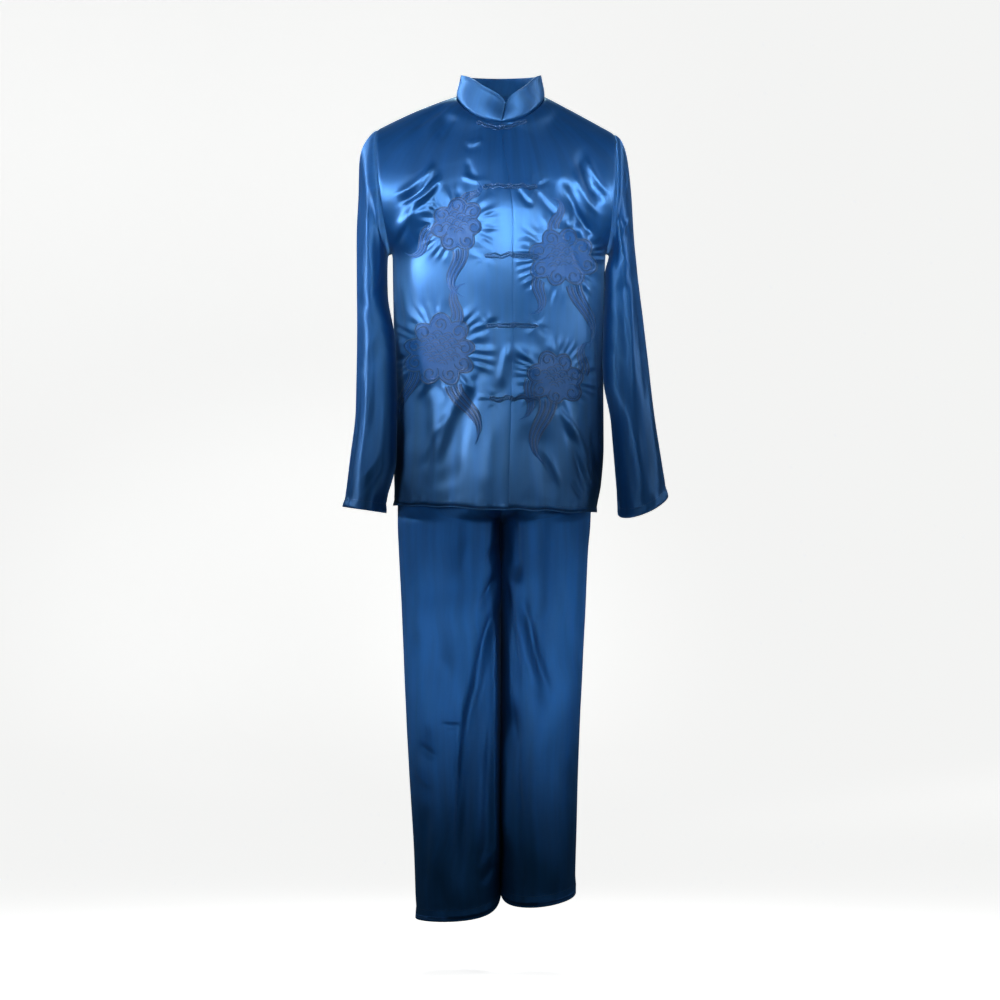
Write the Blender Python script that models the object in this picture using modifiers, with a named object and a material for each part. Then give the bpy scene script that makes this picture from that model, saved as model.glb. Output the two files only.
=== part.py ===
"""A two-piece suit of satin, worn and hollow: a jacket with a stand collar and frogs, and straight trousers.

Metres, +Z up. The front faces -Y and -X is the wearer's right. The origin lies between the
shoulders, level with the sides of the neck, where the wearer holds the suit up.
"""

import math
from collections import namedtuple

import bpy
import numpy as np
from mathutils import Vector
from mathutils.bvhtree import BVHTree

# Cloth and seams
CLOTH = 0.0015
COLLAR_CLOTH = 0.0022
BAND_CLOTH = 0.0030
SEAM_GAP = 0.0003
LAID_GAP = 0.0005

# Neck ring: half width, half depth and middle, and the heights of its front, back and sides
NECK_HALF_WIDTH = 0.0770
NECK_HALF_DEPTH = 0.0700
NECK_MIDDLE_Y = -0.0150
NECK_FRONT_Z = -0.0455
NECK_BACK_Z = 0.0060
NECK_SIDE_RISE = 0.0220
NECK_POINT_ANGLE = math.radians(100)

# Centre front opening: it starts beside the middle at the neck and swings to the wearer's left
OpeningRow = namedtuple("OpeningRow", "z x")
OPENING = (
    OpeningRow(z=-0.7250, x=0.0135),
    OpeningRow(z=-0.5270, x=0.0193),
    OpeningRow(z=-0.3300, x=0.0226),
    OpeningRow(z=-0.2000, x=0.0215),
    OpeningRow(z=-0.1435, x=0.0150),
    OpeningRow(z=-0.0805, x=0.0050),
    OpeningRow(z=-0.0455, x=0.0020),
)

# Jacket body: the side seams, and how far the front and back stand from the side seams' plane
BodyRow = namedtuple("BodyRow", "z right left front back")
BODY = (
    BodyRow(z=-0.7250, right=-0.1835, left=0.1660, front=0.1400, back=0.1410),
    BodyRow(z=-0.6600, right=-0.1855, left=0.1775, front=0.1365, back=0.1390),
    BodyRow(z=-0.6000, right=-0.1855, left=0.1815, front=0.1310, back=0.1350),
    BodyRow(z=-0.5000, right=-0.1845, left=0.1810, front=0.1280, back=0.1220),
    BodyRow(z=-0.4000, right=-0.1860, left=0.1820, front=0.1310, back=0.1190),
    BodyRow(z=-0.2710, right=-0.1880, left=0.1840, front=0.1370, back=0.1300),
    BodyRow(z=-0.2000, right=-0.1880, left=0.1840, front=0.1335, back=0.1300),
    BodyRow(z=-0.1200, right=-0.1880, left=0.1840, front=0.1150, back=0.1170),
    BodyRow(z=-0.0455, right=-0.1880, left=0.1840, front=0.0850, back=0.0880),
    BodyRow(z=0.0060, right=-0.1880, left=0.1840, front=0.0600, back=0.0550),
)
HEM_Z = -0.7165
HEM_TILT = -0.0386
PIT_ROW = 0.60
NECK_ROW = 0.85
NECK_SWEEP = (-0.10, -0.06, -0.02, 0.02, 0.06, 0.10)
# The share of the armhole's height by which the round chest becomes a flatter yoke, and its curve
CHEST_ROUND_TO = 0.70
SHOULDER_ROUNDNESS = 1.6
SLIT_HEIGHT = 0.0600
SLIT_OPEN = 0.0040

# Armholes: top at the shoulder tip, bottom at the armpit
Armhole = namedtuple("Armhole", "tip_x tip_z pit_x pit_z bow half_depth shoulder_round")
ARMHOLE = {
    "right": Armhole(tip_x=-0.2130, tip_z=-0.0520, pit_x=-0.1880, pit_z=-0.2710, bow=-0.009,
                     half_depth=0.083, shoulder_round=0.004),
    "left": Armhole(tip_x=0.1985, tip_z=-0.0600, pit_x=0.1840, pit_z=-0.2710, bow=0.008,
                    half_depth=0.083, shoulder_round=0.001),
}
ARMHOLE_LOW_FULLNESS = 0.12
SHOULDER_SLOPE = 0.5
SLEEVE_LIP = 0.0025
SLEEVE_SEAM_FADE = 0.5
SLEEVE_HEAD_FADE = 1.5

# Sleeves: sections from near the armhole to the cuff, by their outermost and innermost points
SleeveRow = namedtuple("SleeveRow", "outer_x outer_z inner_x inner_z middle_y half_depth front_drop bow")
SLEEVE = {
    "right": (
        SleeveRow(-0.2245, -0.0585, -0.1925, -0.2712, 0.000, 0.083, 0.000, -0.008),
        SleeveRow(-0.2400, -0.0800, -0.1945, -0.2730, 0.000, 0.082, 0.000, -0.005),
        SleeveRow(-0.2465, -0.1080, -0.1957, -0.2770, 0.000, 0.080, 0.000, -0.002),
        SleeveRow(-0.2475, -0.1600, -0.1962, -0.2860, 0.001, 0.078, 0.000, 0.000),
        SleeveRow(-0.2505, -0.2350, -0.1965, -0.3150, 0.003, 0.075, 0.000, 0.000),
        SleeveRow(-0.2505, -0.3200, -0.1957, -0.3600, 0.000, 0.073, 0.000, 0.000),
        SleeveRow(-0.2500, -0.4400, -0.1890, -0.4500, -0.012, 0.070, 0.000, 0.000),
        SleeveRow(-0.2520, -0.5400, -0.1860, -0.5400, -0.026, 0.068, 0.000, 0.000),
        SleeveRow(-0.2620, -0.6300, -0.1870, -0.6300, -0.040, 0.066, 0.000, 0.000),
        SleeveRow(-0.2710, -0.7120, -0.2000, -0.7225, -0.054, 0.065, 0.000, 0.000),
    ),
    "left": (
        SleeveRow(0.2090, -0.0665, 0.1885, -0.2712, 0.000, 0.083, 0.000, 0.007),
        SleeveRow(0.2180, -0.0850, 0.1905, -0.2730, 0.000, 0.082, 0.000, 0.004),
        SleeveRow(0.2240, -0.1130, 0.1918, -0.2770, 0.000, 0.080, 0.000, 0.0015),
        SleeveRow(0.2295, -0.1650, 0.1922, -0.2860, 0.001, 0.078, 0.000, 0.000),
        SleeveRow(0.2345, -0.2400, 0.1923, -0.3180, 0.003, 0.075, 0.000, 0.000),
        SleeveRow(0.2430, -0.3250, 0.1905, -0.3700, 0.000, 0.073, 0.000, 0.000),
        SleeveRow(0.2560, -0.4400, 0.1875, -0.4550, -0.012, 0.070, 0.000, 0.000),
        SleeveRow(0.2685, -0.5450, 0.1920, -0.5500, -0.026, 0.068, 0.000, 0.000),
        SleeveRow(0.2810, -0.6300, 0.1990, -0.6400, -0.040, 0.067, 0.006, 0.000),
        SleeveRow(0.2900, -0.6900, 0.2065, -0.7235, -0.054, 0.066, 0.018, 0.000),
    ),
}

# Collar: its top edge by the angle from the centre front, with rounded ends
CollarRow = namedtuple("CollarRow", "angle top_z")
COLLAR = (
    CollarRow(angle=0.0, top_z=-0.0130),
    CollarRow(angle=5.0, top_z=-0.0020),
    CollarRow(angle=15.0, top_z=0.0075),
    CollarRow(angle=30.0, top_z=0.0180),
    CollarRow(angle=45.0, top_z=0.0290),
    CollarRow(angle=60.0, top_z=0.0370),
    CollarRow(angle=90.0, top_z=0.0415),
    CollarRow(angle=180.0, top_z=0.0415),
)
COLLAR_ROWS = (0.0, 0.35, 0.7, 1.0)
COLLAR_LEAN_IN = 0.0060
COLLAR_END_SHIFT = 0.0080

# Frogs: height on the opening, reach to each side, and rise of their outer ends
FrogRow = namedtuple("FrogRow", "z right left rise")
FROGS = (
    FrogRow(z=-0.0545, right=0.042, left=0.042, rise=0.0095),
    FrogRow(z=-0.1590, right=0.046, left=0.045, rise=-0.0020),
    FrogRow(z=-0.2790, right=0.047, left=0.043, rise=-0.0010),
    FrogRow(z=-0.3990, right=0.045, left=0.042, rise=-0.0010),
    FrogRow(z=-0.5250, right=0.036, left=0.047, rise=0.0),
)
FROG_HALF_HEIGHT = 0.0048
FROG_THICKNESS = 0.0034
KNOT_RADIUS = 0.0046
# A frog half's rounded tip, in shares of its reach, and how far the groove between its cords goes down
FROG_TIP_START = 0.93
FROG_TIP_END = 1.02
FROG_TIP_BLUNT = 0.15
CORD_ROUNDNESS = 0.8

# Trousers: side seams, front and back fullness, hems, crotch and waist
TrouserRow = namedtuple("TrouserRow", "z right left front back")
TROUSERS = (
    TrouserRow(z=-1.4400, right=-0.1460, left=0.1300, front=0.0790, back=0.0810),
    TrouserRow(z=-1.3100, right=-0.1505, left=0.1330, front=0.0800, back=0.0820),
    TrouserRow(z=-1.1700, right=-0.1590, left=0.1365, front=0.0840, back=0.0860),
    TrouserRow(z=-1.0300, right=-0.1660, left=0.1420, front=0.0930, back=0.0950),
    TrouserRow(z=-0.8750, right=-0.1725, left=0.1500, front=0.1050, back=0.1080),
    TrouserRow(z=-0.7875, right=-0.1767, left=0.1540, front=0.1050, back=0.1080),
    TrouserRow(z=-0.7350, right=-0.1790, left=0.1585, front=0.1080, back=0.1141),
    TrouserRow(z=-0.6600, right=-0.1790, left=0.1600, front=0.1130, back=0.1325),
    TrouserRow(z=-0.6000, right=-0.1740, left=0.1580, front=0.1150, back=0.1240),
    TrouserRow(z=-0.5200, right=-0.1650, left=0.1500, front=0.1130, back=0.1040),
    TrouserRow(z=-0.4580, right=-0.1580, left=0.1440, front=0.1060, back=0.0980),
    TrouserRow(z=-0.4180, right=-0.1560, left=0.1420, front=0.1040, back=0.0960),
)
LEG_SPLIT_X = 0.0010
TROUSER_HEM_Z = {"right": -1.4320, "left": -1.4140}
CROTCH_Z = -0.7350
CROTCH_HEIGHT = 0.1150
CROTCH_ROUNDNESS = 1.8
INSEAM_GAP = 0.0009
BAND_BOTTOM_Z = -0.4580
BAND_TOP_Z = -0.4180

# Folds, by their two ends as seen from the front or back. A bow bends one sideways at its middle,
# and a depth below zero is a trough.
Fold = namedtuple("Fold", "x0 z0 x1 z1 bow width depth")
FOLD_FADE = 0.3
# Folds go more towards the front and back than towards the sides
FOLD_FACING = 1.4
JACKET_FRONT_FOLDS = (
    Fold(x0=-0.190, z0=-0.250, x1=-0.118, z1=-0.115, bow=0.016, width=0.014, depth=0.0075),
    Fold(x0=-0.172, z0=-0.285, x1=-0.112, z1=-0.170, bow=0.014, width=0.014, depth=-0.0060),
    Fold(x0=0.138, z0=-0.085, x1=0.178, z1=-0.190, bow=0.006, width=0.012, depth=-0.0070),
    Fold(x0=0.105, z0=-0.140, x1=0.170, z1=-0.250, bow=0.010, width=0.013, depth=-0.0075),
    Fold(x0=0.108, z0=-0.205, x1=0.166, z1=-0.330, bow=0.016, width=0.015, depth=-0.0070),
    Fold(x0=-0.055, z0=-0.500, x1=-0.108, z1=-0.690, bow=0.008, width=0.018, depth=-0.0060),
    Fold(x0=-0.138, z0=-0.480, x1=-0.146, z1=-0.690, bow=-0.008, width=0.016, depth=-0.0050),
    Fold(x0=0.070, z0=-0.560, x1=0.096, z1=-0.710, bow=0.008, width=0.018, depth=-0.0055),
)
JACKET_BACK_FOLDS = (
    Fold(x0=-0.176, z0=-0.272, x1=-0.085, z1=-0.140, bow=0.016, width=0.016, depth=-0.0075),
    Fold(x0=0.172, z0=-0.268, x1=0.090, z1=-0.130, bow=-0.016, width=0.016, depth=-0.0075),
    Fold(x0=-0.120, z0=-0.330, x1=-0.100, z1=-0.560, bow=0.012, width=0.022, depth=-0.0070),
    Fold(x0=0.110, z0=-0.350, x1=0.120, z1=-0.570, bow=-0.010, width=0.022, depth=-0.0070),
    Fold(x0=-0.012, z0=-0.360, x1=0.004, z1=-0.560, bow=0.008, width=0.020, depth=-0.0045),
)
TROUSER_FRONT_FOLDS = (
    Fold(x0=0.020, z0=-0.700, x1=0.030, z1=-1.180, bow=0.010, width=0.014, depth=-0.0100),
    Fold(x0=0.050, z0=-0.820, x1=0.082, z1=-1.080, bow=0.005, width=0.015, depth=-0.0070),
    Fold(x0=-0.014, z0=-0.770, x1=-0.032, z1=-0.960, bow=-0.005, width=0.012, depth=-0.0080),
    Fold(x0=-0.024, z0=-0.920, x1=-0.020, z1=-1.320, bow=-0.005, width=0.018, depth=0.0060),
    Fold(x0=-0.036, z0=-1.100, x1=-0.074, z1=-1.390, bow=0.006, width=0.017, depth=-0.0080),
    Fold(x0=-0.112, z0=-0.780, x1=-0.084, z1=-1.060, bow=0.012, width=0.020, depth=-0.0065),
)
TROUSER_BACK_FOLDS = (
    Fold(x0=-0.066, z0=-0.780, x1=-0.026, z1=-1.020, bow=-0.008, width=0.016, depth=-0.0085),
    Fold(x0=0.060, z0=-0.770, x1=0.030, z1=-1.000, bow=0.008, width=0.016, depth=-0.0085),
    Fold(x0=-0.104, z0=-1.000, x1=-0.052, z1=-1.200, bow=0.010, width=0.018, depth=-0.0070),
    Fold(x0=0.098, z0=-1.020, x1=0.050, z1=-1.250, bow=-0.010, width=0.018, depth=-0.0070),
)
SLEEVE_FRONT_FOLDS = (
    Fold(x0=-0.236, z0=-0.140, x1=-0.208, z1=-0.310, bow=-0.004, width=0.010, depth=-0.0060),
    Fold(x0=-0.248, z0=-0.340, x1=-0.202, z1=-0.400, bow=0.004, width=0.012, depth=-0.0060),
    Fold(x0=-0.200, z0=-0.425, x1=-0.244, z1=-0.485, bow=-0.004, width=0.012, depth=-0.0060),
    Fold(x0=-0.210, z0=-0.510, x1=-0.238, z1=-0.670, bow=0.004, width=0.012, depth=-0.0050),
    Fold(x0=0.206, z0=-0.165, x1=0.226, z1=-0.275, bow=0.004, width=0.010, depth=-0.0060),
    Fold(x0=0.242, z0=-0.290, x1=0.202, z1=-0.350, bow=-0.004, width=0.012, depth=-0.0060),
    Fold(x0=0.202, z0=-0.380, x1=0.250, z1=-0.460, bow=0.005, width=0.012, depth=-0.0060),
    Fold(x0=0.230, z0=-0.490, x1=0.254, z1=-0.660, bow=-0.004, width=0.013, depth=-0.0050),
)
SLEEVE_BACK_FOLDS = (
    Fold(x0=-0.244, z0=-0.320, x1=-0.204, z1=-0.430, bow=0.005, width=0.013, depth=-0.0065),
    Fold(x0=-0.206, z0=-0.450, x1=-0.242, z1=-0.580, bow=-0.005, width=0.013, depth=-0.0060),
    Fold(x0=0.240, z0=-0.310, x1=0.204, z1=-0.420, bow=-0.005, width=0.013, depth=-0.0065),
    Fold(x0=0.208, z0=-0.440, x1=0.252, z1=-0.570, bow=0.005, width=0.013, depth=-0.0060),
)

# Mesh rows and columns of each wall
FRONT_COLUMNS = 14
BACK_COLUMNS = 11
# Rows up to the armpit, then up to the neck, then along the neck seam by shares of its length
ROWS_TO_PIT = 10
ROWS_TO_NECK = 5
NECK_SHARES = (0.05, 0.16, 0.34, 0.56, 0.80, 0.97, 1.0)
SLEEVE_ROWS = 15
TROUSER_COLUMNS = 8
TROUSER_ROWS = (12, 9)
SEAM_MARGIN = 0.03
# The share of a seam's gap that its neighbouring row or column is drawn back too
BESIDE_SEAM = 0.85

# Colours, linear
SATIN = (0.022, 0.090, 0.275)
SATIN_DEEP = (0.016, 0.065, 0.215)
CORD_BLUE = (0.014, 0.050, 0.190)

SIDES = ("right", "left")
OUTWARD = {"right": -1.0, "left": 1.0}


def smooth_curve(keys, values, at):
    """Values between the given ones, on a smooth curve with no overshoot."""
    keys = np.asarray(keys, float)
    values = np.asarray(values, float)
    step = np.diff(keys)
    rise = np.diff(values) / step
    both = rise[1:] * rise[:-1]
    total = np.where(both > 0, rise[1:] + rise[:-1], 1.0)
    slope = np.empty_like(values)
    slope[1:-1] = np.where(both > 0, 2 * both / total, 0.0)
    slope[0] = rise[0]
    slope[-1] = rise[-1]
    i = np.clip(np.searchsorted(keys, at) - 1, 0, len(keys) - 2)
    t = np.clip((at - keys[i]) / step[i], 0.0, 1.0)
    return (values[i] * (1 + 2 * t) * (1 - t) ** 2 + values[i + 1] * t * t * (3 - 2 * t)
            + step[i] * (slope[i] * t * (1 - t) ** 2 - slope[i + 1] * t * t * (1 - t)))


def column(table, key, name, at):
    """One column of a table, read at the given keys."""
    keys = [getattr(row, key) for row in table]
    return smooth_curve(keys, [getattr(row, name) for row in table], np.asarray(at, float))


def ease(value):
    """0 to 1, slow at both ends."""
    t = np.clip(value, 0.0, 1.0)
    return t * t * (3 - 2 * t)


def points(x, y, z):
    """Stack coordinates into points."""
    return np.stack(np.broadcast_arrays(x, y, z), axis=-1)


def fold_height(folds, x, z):
    """How far the folds lift or sink the cloth at places seen from the front or back."""
    height = np.zeros(np.broadcast(x, z).shape)
    for fold in folds:
        along = np.array([fold.x1 - fold.x0, fold.z1 - fold.z0])
        length = np.hypot(*along)
        along = along / length
        across = np.array([along[1], -along[0]])
        t = ((x - fold.x0) * along[0] + (z - fold.z0) * along[1]) / length
        off = (x - fold.x0) * across[0] + (z - fold.z0) * across[1] - fold.bow * 4 * t * (1 - t)
        fade = ease(t / FOLD_FADE) * ease((1 - t) / FOLD_FADE)
        height = height + fold.depth * fade * np.exp(-((off / fold.width) ** 2))
    return height


def neck_ring(angle, side):
    """A point of the neck seam, by its angle from the centre front."""
    x = OUTWARD[side] * NECK_HALF_WIDTH * np.sin(angle) + OPENING[-1].x * np.cos(angle / 2) ** 2
    y = NECK_MIDDLE_Y - NECK_HALF_DEPTH * np.cos(angle)
    rise = (NECK_BACK_Z - NECK_FRONT_Z) * (1 - np.cos(angle)) / 2
    return points(x, y, NECK_FRONT_Z + rise + NECK_SIDE_RISE * np.sin(angle) ** 2)


def armhole_ring(angle, side):
    """A point of the armhole seam: 0 at the armpit, pi at the shoulder tip, below pi in front."""
    hole = ARMHOLE[side]
    x = (hole.tip_x + hole.pit_x) / 2 - (hole.tip_x - hole.pit_x) / 2 * np.cos(angle)
    x = x + hole.bow * np.abs(np.sin(angle))
    z = (hole.tip_z + hole.pit_z) / 2 - (hole.tip_z - hole.pit_z) / 2 * np.cos(angle)
    y = -hole.half_depth * np.sin(angle) * (1 + ARMHOLE_LOW_FULLNESS * np.cos(angle))
    return points(x, y, z)


def panel_middle(side, facing, v):
    """A jacket panel's inner edge: up the middle from the hem, then along the neck seam."""
    low_z = HEM_Z + (ARMHOLE[side].pit_z - HEM_Z) * v / PIT_ROW
    neck_z = NECK_FRONT_Z if facing < 0 else NECK_BACK_Z
    pit_z = ARMHOLE[side].pit_z
    mid_z = pit_z + (neck_z - pit_z) * (v - PIT_ROW) / (NECK_ROW - PIT_ROW)
    z = np.where(v <= PIT_ROW, low_z, np.minimum(mid_z, neck_z))
    depth = column(BODY, "z", "front" if facing < 0 else "back", z)
    x = column(OPENING, "z", "x", z) if facing < 0 else np.zeros_like(z)
    turn = np.clip((v - NECK_ROW) / (1 - NECK_ROW), 0.0, 1.0)
    if facing < 0:
        neck_angle = turn * NECK_POINT_ANGLE
    else:
        neck_angle = math.pi - turn * (math.pi - NECK_POINT_ANGLE)
    return np.where((v > NECK_ROW)[..., None], neck_ring(neck_angle, side), points(x, facing * depth, z))


def panel_side(side, facing, v):
    """A jacket panel's outer edge: up the side seam, then round the armhole to the shoulder tip."""
    low_z = HEM_Z + (ARMHOLE[side].pit_z - HEM_Z) * v / PIT_ROW
    angle = math.pi * np.clip((v - PIT_ROW) / (1 - PIT_ROW), 0.0, 1.0)
    armhole = armhole_ring(angle if facing < 0 else -angle, side)
    seam = points(column(BODY, "z", side, low_z), 0.0, low_z)
    return np.where((v > PIT_ROW)[..., None], armhole, seam)


def body_panel(side, facing, u, v):
    """A point of the jacket's front (facing -1) or back (1): u from the middle to the side, v upwards."""
    inner = panel_middle(side, facing, v)
    # Away from the neck seam, the rows pass its corner in a round sweep
    passes = [panel_middle(side, facing, np.clip(v + shift, 0.0, 1.0)) for shift in NECK_SWEEP]
    sweep = sum(passes) / len(passes)
    swept = (ease(u / 0.35) ** 2 * ease((v - PIT_ROW) / 0.1) * ease((1 - v) / 0.05))[..., None]
    inner = inner + (sweep - inner) * swept
    outer = panel_side(side, facing, v)

    high = np.clip((v - PIT_ROW) / (1 - PIT_ROW), 0.0, 1.0)
    round_part = 1 - ease(high / CHEST_ROUND_TO)
    along_x = round_part * np.sin(u * math.pi / 2) + (1 - round_part) * u
    along_y = round_part * (1 - np.cos(u * math.pi / 2)) + (1 - round_part) * u ** SHOULDER_ROUNDNESS
    along_z = u ** (1.5 - 0.5 * high)
    place = inner + (outer - inner) * points(along_x, along_y, along_z)
    place[..., 2] += ARMHOLE[side].shoulder_round * np.sin(math.pi * u) * high ** 2
    place[..., 2] += HEM_TILT * place[..., 0] * (1 - ease(v / (PIT_ROW * 0.6)))
    place[..., 1] += facing * SLIT_OPEN * u ** 6 * (1 - ease((place[..., 2] - HEM_Z) / SLIT_HEIGHT))

    folds = JACKET_FRONT_FOLDS if facing < 0 else JACKET_BACK_FOLDS
    beside = ease((1 - u) / 0.15)
    fade = np.where(high > 0, beside * ease((1 - high) / 0.2), beside)
    height = fold_height(folds, place[..., 0], place[..., 2]) * fade
    return place + push_out(place, height)


def push_out(place, height, middle_x=0.0, middle_y=0.0):
    """The move of points level and away from an upright axis."""
    out_x = place[..., 0] - middle_x
    out_y = (place[..., 1] - middle_y) * FOLD_FACING
    size = np.hypot(out_x, out_y) + 1e-9
    return points(out_x / size * height, out_y / size * height, np.zeros_like(height))


def row_values():
    """Row positions of a jacket panel, with a close pair of rows at the shoulder seam."""
    low = np.linspace(0.0, PIT_ROW, ROWS_TO_PIT + 1)
    middle = np.linspace(PIT_ROW, NECK_ROW, ROWS_TO_NECK + 1)[1:]
    high = NECK_ROW + (1.0 - NECK_ROW) * np.array(NECK_SHARES)
    return np.concatenate([low, middle, high])


def armhole_angles():
    """The angles round an armhole at which the panels' rows end, and their mirror images at the back."""
    rows = row_values()
    front = math.pi * (rows[rows >= PIT_ROW] - PIT_ROW) / (1.0 - PIT_ROW)
    return np.concatenate([front, 2 * math.pi - front[-2:0:-1]])


def column_values(count):
    """Column positions of a panel, with a close pair of columns at its outer seam."""
    return np.concatenate([np.linspace(0.0, 1.0, count + 1)[:-1], [1.0 - SEAM_MARGIN, 1.0]])


def jacket_grid(side, facing, columns):
    """The outer points of half a jacket panel, rows upwards, columns from the middle to the side."""
    u, v = np.meshgrid(column_values(columns), row_values())
    return body_panel(side, facing, u, v)


def sleeve_row(side, step):
    """A sleeve's section between two rows of its table."""
    keys = np.arange(1, len(SLEEVE[side]) + 1, dtype=float)
    columns = ([getattr(row, name) for row in SLEEVE[side]] for name in SleeveRow._fields)
    return SleeveRow(*(smooth_curve(keys, values, step) for values in columns))


def sleeve_grid(side):
    """The outer points of a sleeve, rows from the armhole down, columns round from the underarm."""
    angle = armhole_angles()
    seam = armhole_ring(angle, side)
    seam[..., 0] += OUTWARD[side] * SEAM_GAP
    lip = seam.copy()
    lip[..., 0] += OUTWARD[side] * SLEEVE_LIP
    lip[..., 2] -= SLEEVE_LIP * SHOULDER_SLOPE * (1 - np.cos(angle)) / 2
    rings = [seam, lip]
    for step in np.linspace(1.0, len(SLEEVE[side]), SLEEVE_ROWS):
        row = sleeve_row(side, step)
        half_x = (row.outer_x - row.inner_x) / 2
        half_z = (row.outer_z - row.inner_z) / 2
        x = row.inner_x + half_x - half_x * np.cos(angle) + row.bow * np.abs(np.sin(angle))
        z = row.inner_z + half_z - half_z * np.cos(angle) - row.front_drop * np.sin(angle)
        low_fullness = 1 + ARMHOLE_LOW_FULLNESS * np.cos(angle) * (1 - ease((step - 1) / 4))
        y = row.middle_y - row.half_depth * np.sin(angle) * low_fullness
        ring = points(x, y, z)
        before = fold_height(SLEEVE_FRONT_FOLDS, x, z)
        behind = fold_height(SLEEVE_BACK_FOLDS, x, z)
        height = np.where(np.sin(angle) > 0, before, behind)
        height = height * ease(np.abs(np.sin(angle)) / SLEEVE_SEAM_FADE) * ease((step - 1) / SLEEVE_HEAD_FADE)
        middle = ring.mean(axis=0)
        rings.append(ring + push_out(ring, height, middle[0], middle[1]))
    return np.stack(rings)


def leg_ring(side, z, angle):
    """A point of a trouser leg: 0 at the front, pi/2 at the side seam, pi at the back."""
    out = OUTWARD[side]
    width = np.abs(column(TROUSERS, "z", side, z) - LEG_SPLIT_X)
    height = np.clip((z - CROTCH_Z) / CROTCH_HEIGHT, 0.0, 1.0)
    middle = width / 2 * (1 - height) ** CROTCH_ROUNDNESS
    radius = width - middle
    start = -np.arcsin(np.clip(middle / radius, 0.0, 1.0))
    # Columns spread from the crotch seam, and keep their places at the side seam
    side_share = np.where(angle <= math.pi / 2, angle, math.pi - angle) / (math.pi / 2)
    turned = -math.pi / 2 + math.pi * side_share
    turned = turned + (start + math.pi / 2) * (1 - side_share) ** CROTCH_ROUNDNESS
    turned = np.where(angle <= math.pi / 2, turned, math.pi - turned)
    depth = np.where(np.cos(turned) > 0, column(TROUSERS, "z", "front", z), column(TROUSERS, "z", "back", z))
    gap = SEAM_GAP + (INSEAM_GAP - SEAM_GAP) * ease((CROTCH_Z - z) / 0.03)
    x = np.maximum(middle + radius * np.sin(turned), 0.0) + gap / 2
    return points(LEG_SPLIT_X + out * x, -depth * np.cos(turned), z)


def trouser_grid(side, facing):
    """The outer points of a trouser piece, rows upwards, columns from the middle to the side seam."""
    low = np.linspace(TROUSER_HEM_Z[side], CROTCH_Z, TROUSER_ROWS[0] + 1)
    # Rows close in just above the crotch, where the seam curves most
    rise = np.linspace(0.0, 1.0, TROUSER_ROWS[1] + 1)[1:] ** 2
    high = CROTCH_Z + (BAND_BOTTOM_Z - SEAM_GAP - CROTCH_Z) * rise
    steps = np.concatenate([[0.0, SEAM_MARGIN], column_values(TROUSER_COLUMNS)[1:]])
    z, t = np.meshgrid(np.concatenate([low, high]), steps, indexing="ij")
    angle = t * math.pi / 2 if facing < 0 else math.pi - t * math.pi / 2
    place = leg_ring(side, z, angle)
    folds = TROUSER_FRONT_FOLDS if facing < 0 else TROUSER_BACK_FOLDS
    fade = ease((1 - t) / FOLD_FADE) * ease(t / FOLD_FADE)
    height = fold_height(folds, place[..., 0], place[..., 2]) * fade
    place[..., 1] += facing * height
    return place


def colour_of(name, colour, roughness=0.34):
    """A satin material for one piece."""
    material = bpy.data.materials.new(name + "_satin")
    material.use_nodes = True
    shader = material.node_tree.nodes["Principled BSDF"]
    shader.inputs["Base Color"].default_value = (*colour, 1.0)
    shader.inputs["Roughness"].default_value = roughness
    shader.inputs["Metallic"].default_value = 0.0
    return material


def new_object(name, vertices, faces, colour):
    """A mesh object with its own material, in the suit's collection."""
    mesh = bpy.data.meshes.new(name)
    mesh.from_pydata([tuple(vertex) for vertex in vertices], [], faces)
    mesh.shade_smooth()
    thing = bpy.data.objects.new(name, mesh)
    thing.data.materials.append(colour_of(name, colour))
    bpy.data.collections["kung_fu_uniform"].objects.link(thing)
    return thing


def grid_faces(rows, columns, closed):
    """Quads of a grid whose columns run anticlockwise, seen from above, and whose rows run upwards."""
    faces = []
    last = columns if closed else columns - 1
    for i in range(rows - 1):
        for j in range(last):
            k = (j + 1) % columns
            faces.append((i * columns + j, i * columns + k, (i + 1) * columns + k, (i + 1) * columns + j))
    return faces


def cloth_wall(name, grid, colour, closed=False, thickness=CLOTH):
    """A wall of cloth whose outer side is the grid."""
    rows, columns = grid.shape[:2]
    wall = new_object(name, grid.reshape(-1, 3), grid_faces(rows, columns, closed), colour)
    thicken(wall, thickness)
    return wall


def thicken(wall, thickness):
    """Give an open surface its thickness, inwards."""
    solidify = wall.modifiers.new("Cloth thickness", "SOLIDIFY")
    solidify.thickness = thickness
    solidify.offset = -1.0


def slab(name, under, over, colour):
    """A closed solid between two grids of the same shape, the second one outside."""
    rows, columns = under.shape[:2]
    count = rows * columns
    outer = grid_faces(rows, columns, False)
    faces = [tuple(count + i for i in face) for face in outer]
    faces += [tuple(reversed(face)) for face in outer]
    rim = list(range(columns))
    rim += [i * columns + columns - 1 for i in range(1, rows)]
    rim += [(rows - 1) * columns + j for j in range(columns - 2, -1, -1)]
    rim += [i * columns for i in range(rows - 2, 0, -1)]
    for here, after in zip(rim, rim[1:] + rim[:1]):
        faces.append((here, after, count + after, count + here))
    vertices = np.concatenate([under.reshape(-1, 3), over.reshape(-1, 3)])
    return new_object(name, vertices, faces, colour)


def build_fronts():
    """The two fronts, which meet along the opening."""
    surfaces = {}
    for side in SIDES:
        grid = jacket_grid(side, -1, FRONT_COLUMNS)
        grid[..., 0] += 0.5 * SEAM_GAP * OUTWARD[side] * (1 - ease(np.linspace(0, 1, grid.shape[1]) / 0.3))
        grid = clear_back(grid, -1)
        if side == "right":
            grid = grid[:, ::-1]
        cloth_wall("front_" + side, grid, SATIN)
        surfaces[side] = grid
    return surfaces


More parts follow.
